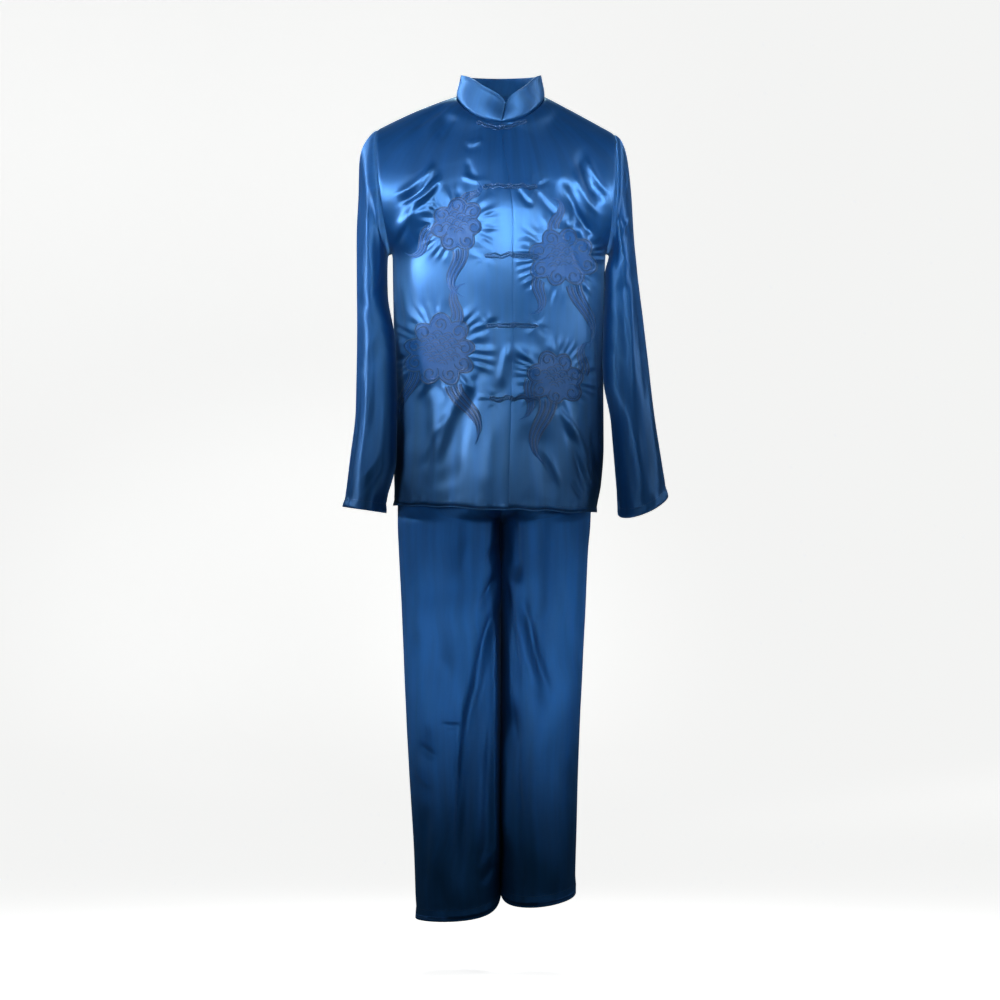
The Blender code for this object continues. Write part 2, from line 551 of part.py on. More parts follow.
def clear_back(grid, facing):
    """Draw a front or back off the side and shoulder seams by half the gap."""
    moved = grid.copy()
    for edge, beside in ((np.s_[:, -1], np.s_[:, -2]), (np.s_[-1, :], np.s_[-2, :])):
        moved[edge][..., 1] += facing * 0.5 * SEAM_GAP
        moved[beside][..., 1] += facing * 0.5 * SEAM_GAP * BESIDE_SEAM
    return moved


def build_back():
    """The back in one piece: two halves joined at the middle up to the neck."""
    right = clear_back(jacket_grid("right", 1, BACK_COLUMNS), 1)
    left = clear_back(jacket_grid("left", 1, BACK_COLUMNS), 1)
    rows, columns = right.shape[:2]
    joined_rows = ROWS_TO_PIT + ROWS_TO_NECK + 1
    left_ids = np.arange(rows * columns).reshape(rows, columns)
    right_ids = left_ids + rows * columns
    right_ids[:joined_rows, 0] = left_ids[:joined_rows, 0]
    faces = []
    for i in range(rows - 1):
        for j in range(columns - 1):
            faces.append((left_ids[i, j + 1], left_ids[i, j], left_ids[i + 1, j], left_ids[i + 1, j + 1]))
            faces.append((right_ids[i, j], right_ids[i, j + 1], right_ids[i + 1, j + 1], right_ids[i + 1, j]))
    vertices = np.concatenate([left.reshape(-1, 3), right.reshape(-1, 3)])
    used = sorted({int(i) for face in faces for i in face})
    renumber = {old: new for new, old in enumerate(used)}
    faces = [tuple(renumber[int(i)] for i in face) for face in faces]
    wall = new_object("back", vertices[used], faces, SATIN)
    thicken(wall, CLOTH)


def build_sleeves():
    """The set-in sleeves, each a tube from its armhole to its cuff."""
    for side in SIDES:
        grid = sleeve_grid(side)[::-1]
        if side == "left":
            grid = grid[:, ::-1]
        cloth_wall("sleeve_" + side, grid[:, ::-1], SATIN, closed=True)


def collar_grid():
    """The outer points of the stand collar, from its right end round the back to its left end."""
    end = math.degrees(0.5 * SEAM_GAP / NECK_HALF_WIDTH)
    point = math.degrees(NECK_POINT_ANGLE)
    shares = np.array(NECK_SHARES)
    front = point * shares
    back = 180.0 - (180.0 - point) * shares[:-1][::-1]
    half = np.concatenate([[end], front, back])
    rings = []
    for share in COLLAR_ROWS:
        parts = []
        for side in SIDES:
            angle = np.radians(half)
            base = neck_ring(angle, side)
            base[..., 2] += SEAM_GAP
            top_z = column(COLLAR, "angle", "top_z", half)
            rise = (top_z - base[..., 2]) * share
            lean = COLLAR_LEAN_IN * ease(share)
            shift = COLLAR_END_SHIFT * share * np.cos(angle / 2) ** 8
            x = base[..., 0] - OUTWARD[side] * lean * np.sin(angle) + shift
            y = base[..., 1] + lean * np.cos(angle)
            parts.append(points(x, y, base[..., 2] + rise))
        back_base = neck_ring(np.array([math.pi]), "left")
        back_rise = (COLLAR[-1].top_z - back_base[0, 2] - SEAM_GAP) * share
        back_base[..., 1] -= COLLAR_LEAN_IN * ease(share)
        back_base[..., 2] += SEAM_GAP + back_rise
        rings.append(np.concatenate([parts[1], back_base, parts[0][::-1]]))
    return np.stack(rings)


def build_collar():
    """The stiffened stand collar, open at the front."""
    cloth_wall("collar", collar_grid(), SATIN, thickness=COLLAR_CLOTH)


def surface_finder(surfaces):
    """A tree of both fronts, which tells where a level line from the front meets them."""
    vertices = []
    faces = []
    for grid in surfaces.values():
        start = len(vertices)
        rows, columns = grid.shape[:2]
        vertices += [Vector(vertex) for vertex in grid.reshape(-1, 3)]
        faces += [tuple(start + i for i in face) for face in grid_faces(rows, columns, False)]
    return BVHTree.FromPolygons(vertices, faces)


def on_front(finder, x, z):
    """The place on the fronts at a front view's x and z, and the way out of the cloth there."""
    place, normal, _, _ = finder.ray_cast(Vector((x, -1.0, z)), Vector((0.0, 1.0, 0.0)))
    return np.array(place), np.array(normal)


def frog_half(name, finder, frog, side, reach):
    """One side of a frog: two cords side by side, laid on the front."""
    along = np.linspace(KNOT_RADIUS * 1.25, reach, 9)
    across = np.linspace(-1.0, 1.0, 7)
    under = np.zeros((len(across), len(along), 3))
    over = np.zeros_like(under)
    middle = float(column(OPENING, "z", "x", frog.z))
    for j, distance in enumerate(along):
        share = distance / reach
        past = max(0.0, (share - FROG_TIP_START) / (FROG_TIP_END - FROG_TIP_START))
        tip = math.sqrt(max(1.0 - past ** 2, FROG_TIP_BLUNT))
        for i, place in enumerate(across):
            x = middle + OUTWARD[side] * distance
            z = frog.z + frog.rise * share ** 2 + place * FROG_HALF_HEIGHT * tip
            point, normal = on_front(finder, x, z)
            bulge = math.sqrt(1.0 - (2 * abs(place) - 1) ** 2 * CORD_ROUNDNESS)
            under[i, j] = point + normal * LAID_GAP
            over[i, j] = point + normal * (LAID_GAP + FROG_THICKNESS * bulge)
    if side == "right":
        under = under[:, ::-1]
        over = over[:, ::-1]
    slab(name, under, over, CORD_BLUE)


def build_frogs(surfaces):
    """Five frogs down the opening, each two halves and a knot between them."""
    finder = surface_finder(surfaces)
    for number, frog in enumerate(FROGS, start=1):
        frog_half(f"frog_{number}_right", finder, frog, "right", frog.right)
        frog_half(f"frog_{number}_left", finder, frog, "left", frog.left)
        middle = float(column(OPENING, "z", "x", frog.z))
        place, _ = on_front(finder, middle - 0.001, frog.z)
        place[0] = middle
        place[1] -= LAID_GAP + KNOT_RADIUS
        bpy.ops.mesh.primitive_uv_sphere_add(segments=10, ring_count=6, radius=KNOT_RADIUS, location=place)
        knot = bpy.context.object
        knot.name = f"frog_{number}_knot"
        knot.data.name = knot.name
        knot.data.materials.append(colour_of(knot.name, CORD_BLUE, 0.45))
        knot.data.shade_smooth()
        for owner in list(knot.users_collection):
            owner.objects.unlink(knot)
        bpy.data.collections["kung_fu_uniform"].objects.link(knot)


def build_trousers():
    """Two fronts and two backs, which meet at the side seams, the inseams and the crotch seam."""
    for side in SIDES:
        for facing, word in ((-1, "front"), (1, "back")):
            grid = trouser_grid(side, facing)
            for cells in (np.s_[:, -1], np.s_[:, -2]):
                grid[cells][..., 1] += facing * 0.5 * SEAM_GAP
            below = grid[:, 0, 2] <= CROTCH_Z + 1e-6
            grid[below, 0, 1] += facing * 0.5 * SEAM_GAP
            if (side == "right") == (facing < 0):
                grid = grid[:, ::-1]
            cloth_wall(f"trouser_{word}_{side}", grid, SATIN_DEEP)


def build_waistband():
    """The elastic casing, a plain ring that lies under the jacket."""
    angle = np.linspace(0.0, math.pi, 13)
    rings = []
    for z in (BAND_BOTTOM_Z, BAND_TOP_Z):
        left = leg_ring("left", np.full_like(angle, z), angle)
        right = leg_ring("right", np.full_like(angle, z), angle)
        left[[0, -1], 0] = LEG_SPLIT_X
        rings.append(np.concatenate([left, right[1:-1][::-1]]))
    cloth_wall("waistband", np.stack(rings), SATIN_DEEP, closed=True, thickness=BAND_CLOTH)


def main():
    for thing in list(bpy.data.objects):
        bpy.data.objects.remove(thing, do_unlink=True)
    suit = bpy.data.collections.new("kung_fu_uniform")
    bpy.context.scene.collection.children.link(suit)
    surfaces = build_fronts()
    build_back()
    build_sleeves()
    build_collar()
    build_frogs(surfaces)
    build_trousers()
    build_waistband()


main()
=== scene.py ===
"""Dress a worn two-piece suit: a satin jacket with a stand collar and frogs, and straight satin trousers.

Metres, +Z up. The front faces -Y, and -X is the wearer's right. Every piece of cloth is a thin shell on
the form of its solid, with its creases, hems, stitches, frogs and embroidery.
"""

import math
from collections import namedtuple

import bmesh
import bpy
import numpy as np
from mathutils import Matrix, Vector, noise
from mathutils.bvhtree import BVHTree


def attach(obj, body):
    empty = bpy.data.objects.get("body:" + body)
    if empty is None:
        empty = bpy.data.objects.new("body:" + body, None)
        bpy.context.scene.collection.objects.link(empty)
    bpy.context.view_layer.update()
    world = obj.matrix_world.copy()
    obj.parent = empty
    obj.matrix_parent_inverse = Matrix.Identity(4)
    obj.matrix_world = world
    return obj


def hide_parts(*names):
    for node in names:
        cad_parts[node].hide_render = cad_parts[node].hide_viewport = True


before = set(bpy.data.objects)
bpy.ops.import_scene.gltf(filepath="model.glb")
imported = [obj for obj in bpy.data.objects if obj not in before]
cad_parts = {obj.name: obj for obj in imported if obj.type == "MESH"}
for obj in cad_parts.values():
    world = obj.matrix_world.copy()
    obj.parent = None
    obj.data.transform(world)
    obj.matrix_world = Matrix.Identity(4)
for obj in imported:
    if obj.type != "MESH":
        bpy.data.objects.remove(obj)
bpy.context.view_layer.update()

bl_info = {
    "name": "Satin Suit",
    "version": (1, 0, 0),
    "blender": (4, 5, 0),
    "location": "View3D > Sidebar > Suit",
    "description": "Models a worn satin jacket and trousers with creases, frogs and embroidery",
    "category": "Object",
}

SIDES = ("right", "left")
OUTWARD = {"right": -1.0, "left": 1.0}
BODY_NAME = "root"


def in_metres(kind, *rows):
    """The rows of a table that is written in millimetres."""
    return tuple(kind(*(value / 1000 for value in row)) for row in rows)


# Form of the jacket, from the hem up. Tables of rows are in millimetres, and other lengths in metres.
OpeningRow = namedtuple("OpeningRow", "z x")
OPENING = in_metres(
    OpeningRow,
    (-725, 13.5), (-527, 19.3), (-330, 22.6), (-200, 21.5), (-143.5, 15), (-80.5, 5), (-45.5, 2),
)
BodyRow = namedtuple("BodyRow", "z right left front back")
BODY = in_metres(
    BodyRow,
    (-725, -183.5, 166, 140, 141), (-660, -185.5, 177.5, 136.5, 139), (-600, -185.5, 181.5, 131, 135),
    (-500, -184.5, 181, 128, 122), (-400, -186, 182, 131, 119), (-271, -188, 184, 137, 130),
    (-200, -188, 184, 133.5, 130), (-120, -188, 184, 115, 117), (-45.5, -188, 184, 85, 88),
    (6, -188, 184, 60, 55),
)
BODY_HALF_WIDTH = 0.1860
BODY_HALF_DEPTH = 0.1330
HEM_Z = -0.7165
HEM_TILT = -0.0386
PIT_ROW = 0.60
NECK_ROW = 0.85
NECK_SWEEP = (-0.10, -0.06, -0.02, 0.02, 0.06, 0.10)
CHEST_ROUND_TO = 0.70
SHOULDER_ROUNDNESS = 1.6
HEM_TILT_TO = 0.6
SWEEP_ACROSS = 0.35
SWEEP_UP = 0.10
SWEEP_TOP = 0.05
SIDE_CALM = 0.15
TOP_CALM = 0.20
SLIT_HEIGHT = 0.0600
SLIT_OPEN = 0.0040
SLIT_SHARPNESS = 6
EDGE_SHARPNESS = 60
SEAM_GAP = 0.0003
SEAM_TUCK = 0.0016
SEAM_OVERLAP = 0.0006

# Neck ring: half width, half depth and middle, and the heights of its front, back and sides
NECK_HALF_WIDTH = 0.0770
NECK_HALF_DEPTH = 0.0700
NECK_MIDDLE_Y = -0.0150
NECK_FRONT_Z = -0.0455
NECK_BACK_Z = 0.0060
NECK_SIDE_RISE = 0.0220
NECK_POINT_ANGLE = math.radians(100)

# Armholes: top at the shoulder tip, bottom at the armpit
Armhole = namedtuple("Armhole", "tip_x tip_z pit_x pit_z bow half_depth shoulder_round")
ARMHOLE = {
    "right": Armhole(-0.2130, -0.0520, -0.1880, -0.2710, -0.009, 0.083, 0.004),
    "left": Armhole(0.1985, -0.0600, 0.1840, -0.2710, 0.008, 0.083, 0.001),
}
ARMHOLE_LOW_FULLNESS = 0.12
SHOULDER_SLOPE = 0.5
SLEEVE_LIP = 0.0025
LIP_STEP = -0.8
LOW_FULLNESS_TO = 4

# Sleeves: sections from near the armhole to the cuff, by their outermost and innermost points
SleeveRow = namedtuple("SleeveRow", "outer_x outer_z inner_x inner_z middle_y half_depth front_drop bow")
SLEEVE = {
    "right": in_metres(
        SleeveRow,
        (-224.5, -58.5, -192.5, -271.2, 0, 83, 0, -8), (-240, -80, -194.5, -273, 0, 82, 0, -5),
        (-246.5, -108, -195.7, -277, 0, 80, 0, -2), (-247.5, -160, -196.2, -286, 1, 78, 0, 0),
        (-250.5, -235, -196.5, -315, 3, 75, 0, 0), (-250.5, -320, -195.7, -360, 0, 73, 0, 0),
        (-250, -440, -189, -450, -12, 70, 0, 0), (-252, -540, -186, -540, -26, 68, 0, 0),
        (-262, -630, -187, -630, -40, 66, 0, 0), (-271, -712, -200, -722.5, -54, 65, 0, 0),
    ),
    "left": in_metres(
        SleeveRow,
        (209, -66.5, 188.5, -271.2, 0, 83, 0, 7), (218, -85, 190.5, -273, 0, 82, 0, 4),
        (224, -113, 191.8, -277, 0, 80, 0, 1.5), (229.5, -165, 192.2, -286, 1, 78, 0, 0),
        (234.5, -240, 192.3, -318, 3, 75, 0, 0), (243, -325, 190.5, -370, 0, 73, 0, 0),
        (256, -440, 187.5, -455, -12, 70, 0, 0), (268.5, -545, 192, -550, -26, 68, 0, 0),
        (281, -630, 199, -640, -40, 67, 6, 0), (290, -690, 206.5, -723.5, -54, 66, 18, 0),
    ),
}

# Collar: its top edge by the angle from the centre front, with rounded ends
CollarRow = namedtuple("CollarRow", "angle top_z")
COLLAR = (
    CollarRow(0.0, -0.0130), CollarRow(5.0, -0.0020), CollarRow(15.0, 0.0075), CollarRow(30.0, 0.0180),
    CollarRow(45.0, 0.0290), CollarRow(60.0, 0.0370), CollarRow(90.0, 0.0415), CollarRow(180.0, 0.0415),
)
COLLAR_LEAN_IN = 0.0060
COLLAR_END_SHIFT = 0.0080

# Frogs: height on the opening, reach to each side, and rise of their outer ends
FrogRow = namedtuple("FrogRow", "z right left rise")
FROGS = in_metres(
    FrogRow,
    (-54.5, 42, 42, 9.5), (-159, 46, 45, -2), (-279, 47, 43, -1), (-399, 45, 42, -1), (-525, 36, 47, 0),
)

# Trousers: side seams, front and back fullness, hems, crotch and waist
TrouserRow = namedtuple("TrouserRow", "z right left front back")
TROUSERS = in_metres(
    TrouserRow,
    (-1440, -146, 130, 79, 81), (-1310, -150.5, 133, 80, 82), (-1170, -159, 136.5, 84, 86),
    (-1030, -166, 142, 93, 95), (-875, -172.5, 150, 105, 108), (-787.5, -176.7, 154, 105, 108),
    (-735, -179, 158.5, 108, 114.1), (-660, -179, 160, 113, 132.5), (-600, -174, 158, 115, 124),
    (-520, -165, 150, 113, 104), (-458, -158, 144, 106, 98), (-418, -156, 142, 104, 96),
)
LEG_SPLIT_X = 0.0010
TrouserHem = namedtuple("TrouserHem", "z inner_rise outer_rise")
TROUSER_HEM = {"right": TrouserHem(-1.4320, 0.0520, 0.0), "left": TrouserHem(-1.4140, 0.0350, 0.0280)}
HEM_RISE_FADE = 0.1800
CROTCH_Z = -0.7350
CROTCH_HEIGHT = 0.1150
CROTCH_ROUNDNESS = 1.8
INSEAM_GAP = 0.0009
BAND_BOTTOM_Z = -0.4580
BAND_TOP_Z = -0.4180
BAND_THICKNESS = 0.0025
# The right leg's inner side hangs flat beside the fold that runs down it from the crotch
InnerFold = namedtuple("InnerFold", "begin end fade share spread forward")
INNER_FOLD = InnerFold(-0.860, -1.420, 0.140, 0.130, 0.085, 0.026)

# Creases in millimetres, by their two ends as seen from the front or back. A bow bends one sideways at its
# middle, and a depth below zero is a trough.
Crease = namedtuple("Crease", "x0 z0 x1 z1 bow width depth")
MAIN_FRONT = in_metres(
    Crease,
    (-190, -250, -118, -115, 16, 14, 7.5), (-172, -285, -112, -170, 14, 14, -6),
    (138, -85, 178, -190, 6, 12, -7), (105, -140, 170, -250, 10, 13, -7.5),
    (108, -205, 166, -330, 16, 15, -7), (-55, -500, -108, -690, 8, 18, -6),
    (-138, -480, -146, -690, -8, 16, -5), (70, -560, 96, -710, 8, 18, -5.5),
)
MAIN_BACK = in_metres(
    Crease,
    (-176, -272, -85, -140, 16, 16, -7.5), (172, -268, 90, -130, -16, 16, -7.5),
    (-120, -330, -100, -560, 12, 22, -7), (110, -350, 120, -570, -10, 22, -7),
    (-12, -360, 4, -560, 8, 20, -4.5),
)
FINE_FRONT = in_metres(
    Crease,
    (-88, -10, -152, -58, 4, 6, -2.6), (-82, -18, -134, -68, 3, 5, 1.8), (-74, -30, -112, -78, 3, 7, -2),
    (-186, -176, -112, -110, 10, 6, 4.2), (-180, -190, -108, -126, 10, 5.5, -4),
    (-166, -192, -100, -138, 8, 5.5, 3.8), (-160, -206, -102, -154, 7, 5, -3.2),
    (-176, -240, -146, -182, 4, 5.5, 3), (-184, -262, -158, -206, 4, 6, -3.6),
    (-62, -82, -28, -72, 5, 5, 1.8), (-64, -92, -26, -84, 5, 6, -1.4), (-68, -138, -28, -150, 3, 4.5, 2.6),
    (-56, -108, -40, -150, 4, 6, -1.8), (150, -98, 190, -176, 5, 6, 3.4),
    (128, -120, 176, -214, 8, 6.5, 3.6), (114, -150, 170, -250, 10, 5, -3.4),
    (120, -176, 170, -276, 12, 6, 3.6), (112, -206, 166, -330, 14, 5, -3.2),
    (118, -240, 158, -350, 12, 7, 3), (30, -160, 58, -196, 3, 4.5, -2.8),
    (62, -162, 108, -216, 5, 5.5, -2.2), (0, -512, 22, -428, -4, 8, 3.2), (24, -430, 74, -510, -6, 8, 3),
    (18, -446, 28, -512, 2, 8, -2.8), (-48, -480, -112, -650, 8, 10, 4.4),
    (-86, -548, -142, -650, 6, 8, 3.2), (-34, -470, -78, -680, 6, 10, -4),
    (-112, -560, -124, -690, 4, 8, -3), (-158, -580, -168, -700, 2, 7, 3),
    (-10, -560, -20, -700, 4, 11, 2.4), (48, -560, 40, -690, 4, 11, -2.4),
    (98, -540, 152, -650, -10, 6, 4), (106, -566, 146, -690, -8, 6, -4),
    (118, -590, 160, -696, -6, 5.5, 3.6), (64, -612, 102, -692, -3, 5, -3.2),
    (78, -612, 108, -690, -3, 5, 2.8), (122, -662, 144, -700, 1, 4, -2.4),
    (160, -560, 172, -680, 2, 6, -3.4), (160, -400, 174, -560, 3, 6, 2.6),
    (-176, -300, -158, -420, -4, 7, 3), (-170, -430, -176, -560, 3, 7, -3),
)
FINE_BACK = in_metres(
    Crease,
    (-190, -160, -110, -90, 10, 7, 3.6), (186, -170, 108, -86, -10, 7, 3.6),
    (-176, -230, -120, -160, 10, 6, 3.2), (172, -226, 116, -150, -8, 6, 3.4),
    (-60, -60, 58, -64, -10, 9, -3), (-80, -300, -140, -370, 6, 9, 3.4), (78, -320, 142, -390, -6, 9, 3.2),
    (-40, -380, -120, -440, 8, 8, -3.2), (50, -400, 124, -452, -8, 8, -3),
    (-60, -440, -82, -640, 6, 11, 4), (64, -460, 80, -650, -6, 11, 3.8), (12, -480, 28, -690, 6, 11, 3.2),
    (-150, -500, -154, -690, -4, 9, 3.6), (146, -520, 140, -690, 4, 9, -3.4),
    (-110, -600, -104, -700, 2, 8, -3), (100, -610, 106, -700, 2, 8, 3),
    (-30, -560, -36, -700, 3, 10, -3.2),
)
MAIN_TROUSER_FRONT = in_metres(
    Crease,
    (20, -700, 30, -1180, 10, 14, -10), (50, -820, 82, -1080, 5, 15, -7),
    (-14, -770, -32, -960, -5, 12, -8), (-36, -1100, -74, -1390, 6, 17, -8),
    (-112, -780, -84, -1060, 12, 20, -6.5),
)
MAIN_TROUSER_BACK = in_metres(
    Crease,
    (-66, -780, -26, -1020, -8, 16, -8.5), (60, -770, 30, -1000, 8, 16, -8.5),
    (-104, -1000, -52, -1200, 10, 18, -7), (98, -1020, 50, -1250, -10, 18, -7),
)
FINE_TROUSER_FRONT = in_metres(
    Crease,
    (20, -706, 26, -850, 3, 15, -11), (13, -830, 36, -1030, 5, 7, -6), (22, -1040, 36, -1300, 5, 12, -9),
    (4, -780, -3, -900, 2, 6, 4), (-1, -770, -20, -812, 2, 4.5, -4), (-4, -826, -36, -900, 3, 5, -4.2),
    (-8, -880, -46, -1090, 6, 7.5, -8.5), (-42, -1000, -72, -1370, 6, 10, -11),
    (-20, -1040, -44, -1360, 8, 12, 7), (40, -860, 80, -1030, 5, 7.5, -7),
    (30, -860, 64, -1030, 6, 7, 3.4), (60, -860, 94, -1040, 6, 9, 3.2),
    (-104, -1088, -64, -1092, 2, 3.5, -1.6), (-144, -1122, -108, -1148, 2, 5, -2.2),
    (-150, -1160, -116, -1200, 3, 6, 2), (12, -1080, 16, -1330, 3, 8, 8),
    (-34, -1352, -5, -1296, -4, 6, 3.4), (-30, -1370, -2, -1330, -4, 6, -3),
    (-150, -800, -142, -960, 4, 10, 2.6), (-130, -980, -118, -1130, 5, 11, 2.4),
    (-100, -1180, -108, -1380, 5, 12, 3.4), (-126, -1220, -130, -1400, 3, 10, -3.2),
    (108, -790, 128, -960, -4, 11, -3), (116, -1000, 122, -1200, 4, 11, 3),
    (90, -1100, 96, -1350, 5, 11, -3.6), (60, -1120, 64, -1380, 5, 11, 3.6),
    (-56, -760, -72, -860, 3, 8, 2.2),
)
FINE_TROUSER_BACK = in_metres(
    Crease,
    (-12, -760, -60, -860, 6, 7, -4.6), (12, -756, 60, -870, -6, 7, -4.6),
    (-8, -820, -44, -960, 5, 6, 3.6), (10, -830, 46, -980, -5, 6, 3.6),
    (-120, -780, -90, -940, 6, 10, 3.4), (116, -790, 92, -960, -6, 10, 3.4),
    (-130, -1020, -80, -1100, 6, 7, 3), (120, -1050, 74, -1120, -6, 7, 3),
    (-44, -1040, -52, -1300, 6, 10, 4), (40, -1060, 46, -1320, -6, 10, 4),
    (-90, -1160, -96, -1390, 4, 11, -3.8), (86, -1180, 92, -1380, 4, 11, -3.8),
    (-122, -1240, -126, -1410, 3, 9, 3), (112, -1250, 116, -1390, 3, 9, 3),
)
MAIN_SLEEVE_FRONT = in_metres(
    Crease,
    (-236, -140, -208, -310, -4, 10, -3.6), (-248, -340, -202, -400, 4, 12, -3.6),
    (-200, -425, -244, -485, -4, 12, -3.6), (-210, -510, -238, -670, 4, 12, -3),
    (206, -165, 226, -275, 4, 10, -3.6), (242, -290, 202, -350, -4, 12, -3.6),
    (202, -380, 250, -460, 5, 12, -3.6), (230, -490, 254, -660, -4, 13, -3),
)
MAIN_SLEEVE_BACK = in_metres(
    Crease,
    (-244, -320, -204, -430, 5, 13, -6.5), (-206, -450, -242, -580, -5, 13, -6),
    (240, -310, 204, -420, -5, 13, -6.5), (208, -440, 252, -570, 5, 13, -6),
)
SLEEVE_MEAN_RADIUS = 0.0430


def sleeve_creases(*rows):
    """Creases of a sleeve, whose ends are in degrees round it: 90 in front, 180 outside, 270 behind."""
    return tuple(Crease(math.radians(a0) * SLEEVE_MEAN_RADIUS, z0 / 1000,
                        math.radians(a1) * SLEEVE_MEAN_RADIUS, z1 / 1000,
                        bow / 1000, width / 1000, depth / 1000)
                 for a0, z0, a1, z1, bow, width, depth in rows)


FINE_SLEEVE = {
    "right": sleeve_creases(
        (66, -115, 38, -262, 3, 8, -5), (120, -120, 100, -330, 4, 6, 2.6), (70, -150, 62, -330, 3, 6, 2.8),
        (150, -160, 140, -440, -4, 7, 2.4), (40, -300, 100, -360, 6, 7, -3),
        (60, -390, 130, -450, 6, 6, 2.8), (70, -620, 120, -672, 4, 5, 3),
        (62, -636, 108, -690, 4, 5, -2.8), (110, -470, 120, -690, 4, 8, 3),
        (150, -460, 160, -690, 3, 8, -2.8), (210, -140, 230, -330, 4, 8, -3),
        (250, -300, 300, -380, 6, 8, 3.4), (240, -420, 310, -480, 6, 8, -3.4),
        (260, -500, 250, -690, 4, 8, 3.2), (200, -400, 215, -600, 4, 9, -2.6),
    ),
    "left": sleeve_creases(
        (64, -120, 36, -262, 3, 8, -5), (150, -110, 120, -170, -3, 4, 3), (140, -205, 90, -245, 3, 4, 3),
        (84, -205, 140, -250, 3, 4, -2.8), (92, -272, 128, -302, 2, 3, 2),
        (60, -180, 66, -340, 4, 7, -3.6), (120, -300, 104, -520, 4, 7, 3.4),
        (140, -340, 132, -560, -4, 7, -3), (150, -480, 140, -690, 4, 8, 3.4),
        (96, -560, 102, -700, 3, 7, 2.6), (70, -600, 76, -700, 3, 7, -2.6),
        (40, -340, 92, -410, 6, 7, 3.2), (34, -420, 90, -470, 6, 7, -3.2),
        (210, -150, 230, -350, 4, 8, -3), (250, -310, 300, -390, 6, 8, 3.4),
        (240, -430, 310, -490, 6, 8, -3.4), (260, -510, 250, -680, 4, 8, 3.2),
    ),
}
# Where a sleeve rests against the body: the heights where that begins and ends, and how far it comes in there
SleeveRest = namedtuple("SleeveRest", "begin fade_in end fade_out inwards")
SLEEVE_REST = {
    "right": SleeveRest(-0.335, 0.080, -0.630, 0.070, 0.0075),
    "left": SleeveRest(-0.262, 0.045, -0.490, 0.080, 0.0090),
}
SLEEVE_REST_FORWARD = 0.0250

# How creases end, turn to the front, and stay clear of the seams
CREASE_FADE = 0.3
CREASE_FACING = 1.4
CREASE_CLEAR = 0.0200
MIDDLE_CLEAR = 0.0120
MIDDLE_CALM = 0.35
HIDDEN_CALM = 0.30
HIDDEN_TO_Z = -0.7000
SLEEVE_SEAM_FADE = 0.5
SLEEVE_HEAD_FADE = 1.5
SLEEVE_TOP_CLEAR = 0.0300
FINE_SLEEVE_SHARE = 0.6

# Waves in the cloth: their height, and how closely they follow each other across and up it
Wave = namedtuple("Wave", "height across up")
JACKET_WAVES = (Wave(0.0016, 14, 7), Wave(0.0009, 34, 15))
TROUSER_WAVES = (Wave(0.0024, 10, 4), Wave(0.0009, 30, 12))
SLEEVE_WAVES = (Wave(0.0012, 1.1, 6.0), Wave(0.0004, 2.6, 16.0))
WAIST_GATHER = Wave(0.0030, 90, 6)
BANK_CRINKLE = Wave(0.0012, 75, 60)
HEM_PUCKER = Wave(0.0022, 95, 30)
HEM_WAVE = Wave(0.0042, 24, 10)
HEM_DROP = Wave(0.0030, 32, 1)
SLEEVE_HEAD_WAVE = Wave(0.0006, 75, 8)
COLLAR_WAVE = Wave(0.0009, 45, 20)
CORD_WANDER = (Wave(0.0044, 75, 50), Wave(0.0016, 160, 50))
HEM_BAND = 0.0007
HEM_GROOVE = 0.0010
HEM_FLARE = 0.0016
SEAM_DEPTH = 0.0011
SEAM_WIDTH = 0.0022
SEAM_EDGE = 0.0030
SOFTEN_PASSES = 60

# Puckers that gathered stitching draws in the cloth round it, as wrinkles that radiate from its rim
Pucker = namedtuple("Pucker", "x z radius_x radius_z turn rays depth reach")
FROG_PUCKER = (0.007, 0.007, 0.0, 7, 0.0014, 1.6)
BANK_PUCKER = (23, 0.0018, 0.24)
BANK_PUCKER_MARGIN = 0.010
PUCKER_RIM = 1.05

# Embroidered cloud banks: an oval, turned, with a lobed rim, a scroll in each lobe and waves in its middle
CloudBank = namedtuple("CloudBank", "side x z radius_x radius_z turn lobes")
CLOUD_BANKS = (
    CloudBank("right", -0.0740, -0.2250, 0.0440, 0.0400, 15.0, 7),
    CloudBank("right", -0.1040, -0.4420, 0.0620, 0.0540, -12.0, 9),
    CloudBank("left", 0.1080, -0.2820, 0.0520, 0.0500, 8.0, 8),
    CloudBank("left", 0.0960, -0.4900, 0.0440, 0.0440, -15.0, 7),
)
LOBE_DEPTH = 0.26
LOBE_MEAN = 0.64
LOBE_STEPS = 30
BANK_FILL = 0.50
WAVE_RADIUS = 0.0100

# Streamers: the bank that they leave and where, their first direction and its turn in degrees, length, width
Trail = namedtuple("Trail", "bank at direction turn length width")
TRAILS = (
    Trail(0, 175.0, 200.0, 60.0, 0.075, 0.022),
    Trail(0, 262.0, 290.0, -50.0, 0.100, 0.026),
    Trail(0, 60.0, 75.0, -60.0, 0.050, 0.016),
    Trail(1, 75.0, 60.0, 50.0, 0.080, 0.022),
    Trail(1, 300.0, 280.0, 35.0, 0.120, 0.028),
    Trail(1, 235.0, 265.0, -30.0, 0.100, 0.022),
    Trail(2, 100.0, 110.0, -55.0, 0.070, 0.020),
    Trail(2, 215.0, 235.0, 55.0, 0.080, 0.022),
    Trail(2, 285.0, 275.0, 30.0, 0.120, 0.026),
    Trail(3, 25.0, 55.0, 55.0, 0.070, 0.020),
    Trail(3, 262.0, 280.0, -40.0, 0.130, 0.030),
    Trail(3, 200.0, 240.0, 40.0, 0.080, 0.020),
)
TRAIL_STEPS = 44
LIGHT_THREAD = 0
DARK_THREAD = 1

# The rounded middle of the back: how far the cloth is evened out there, and how far from the middle
BACK_ROUNDING = 0.0300
BACK_ROUND_TO = 0.0700

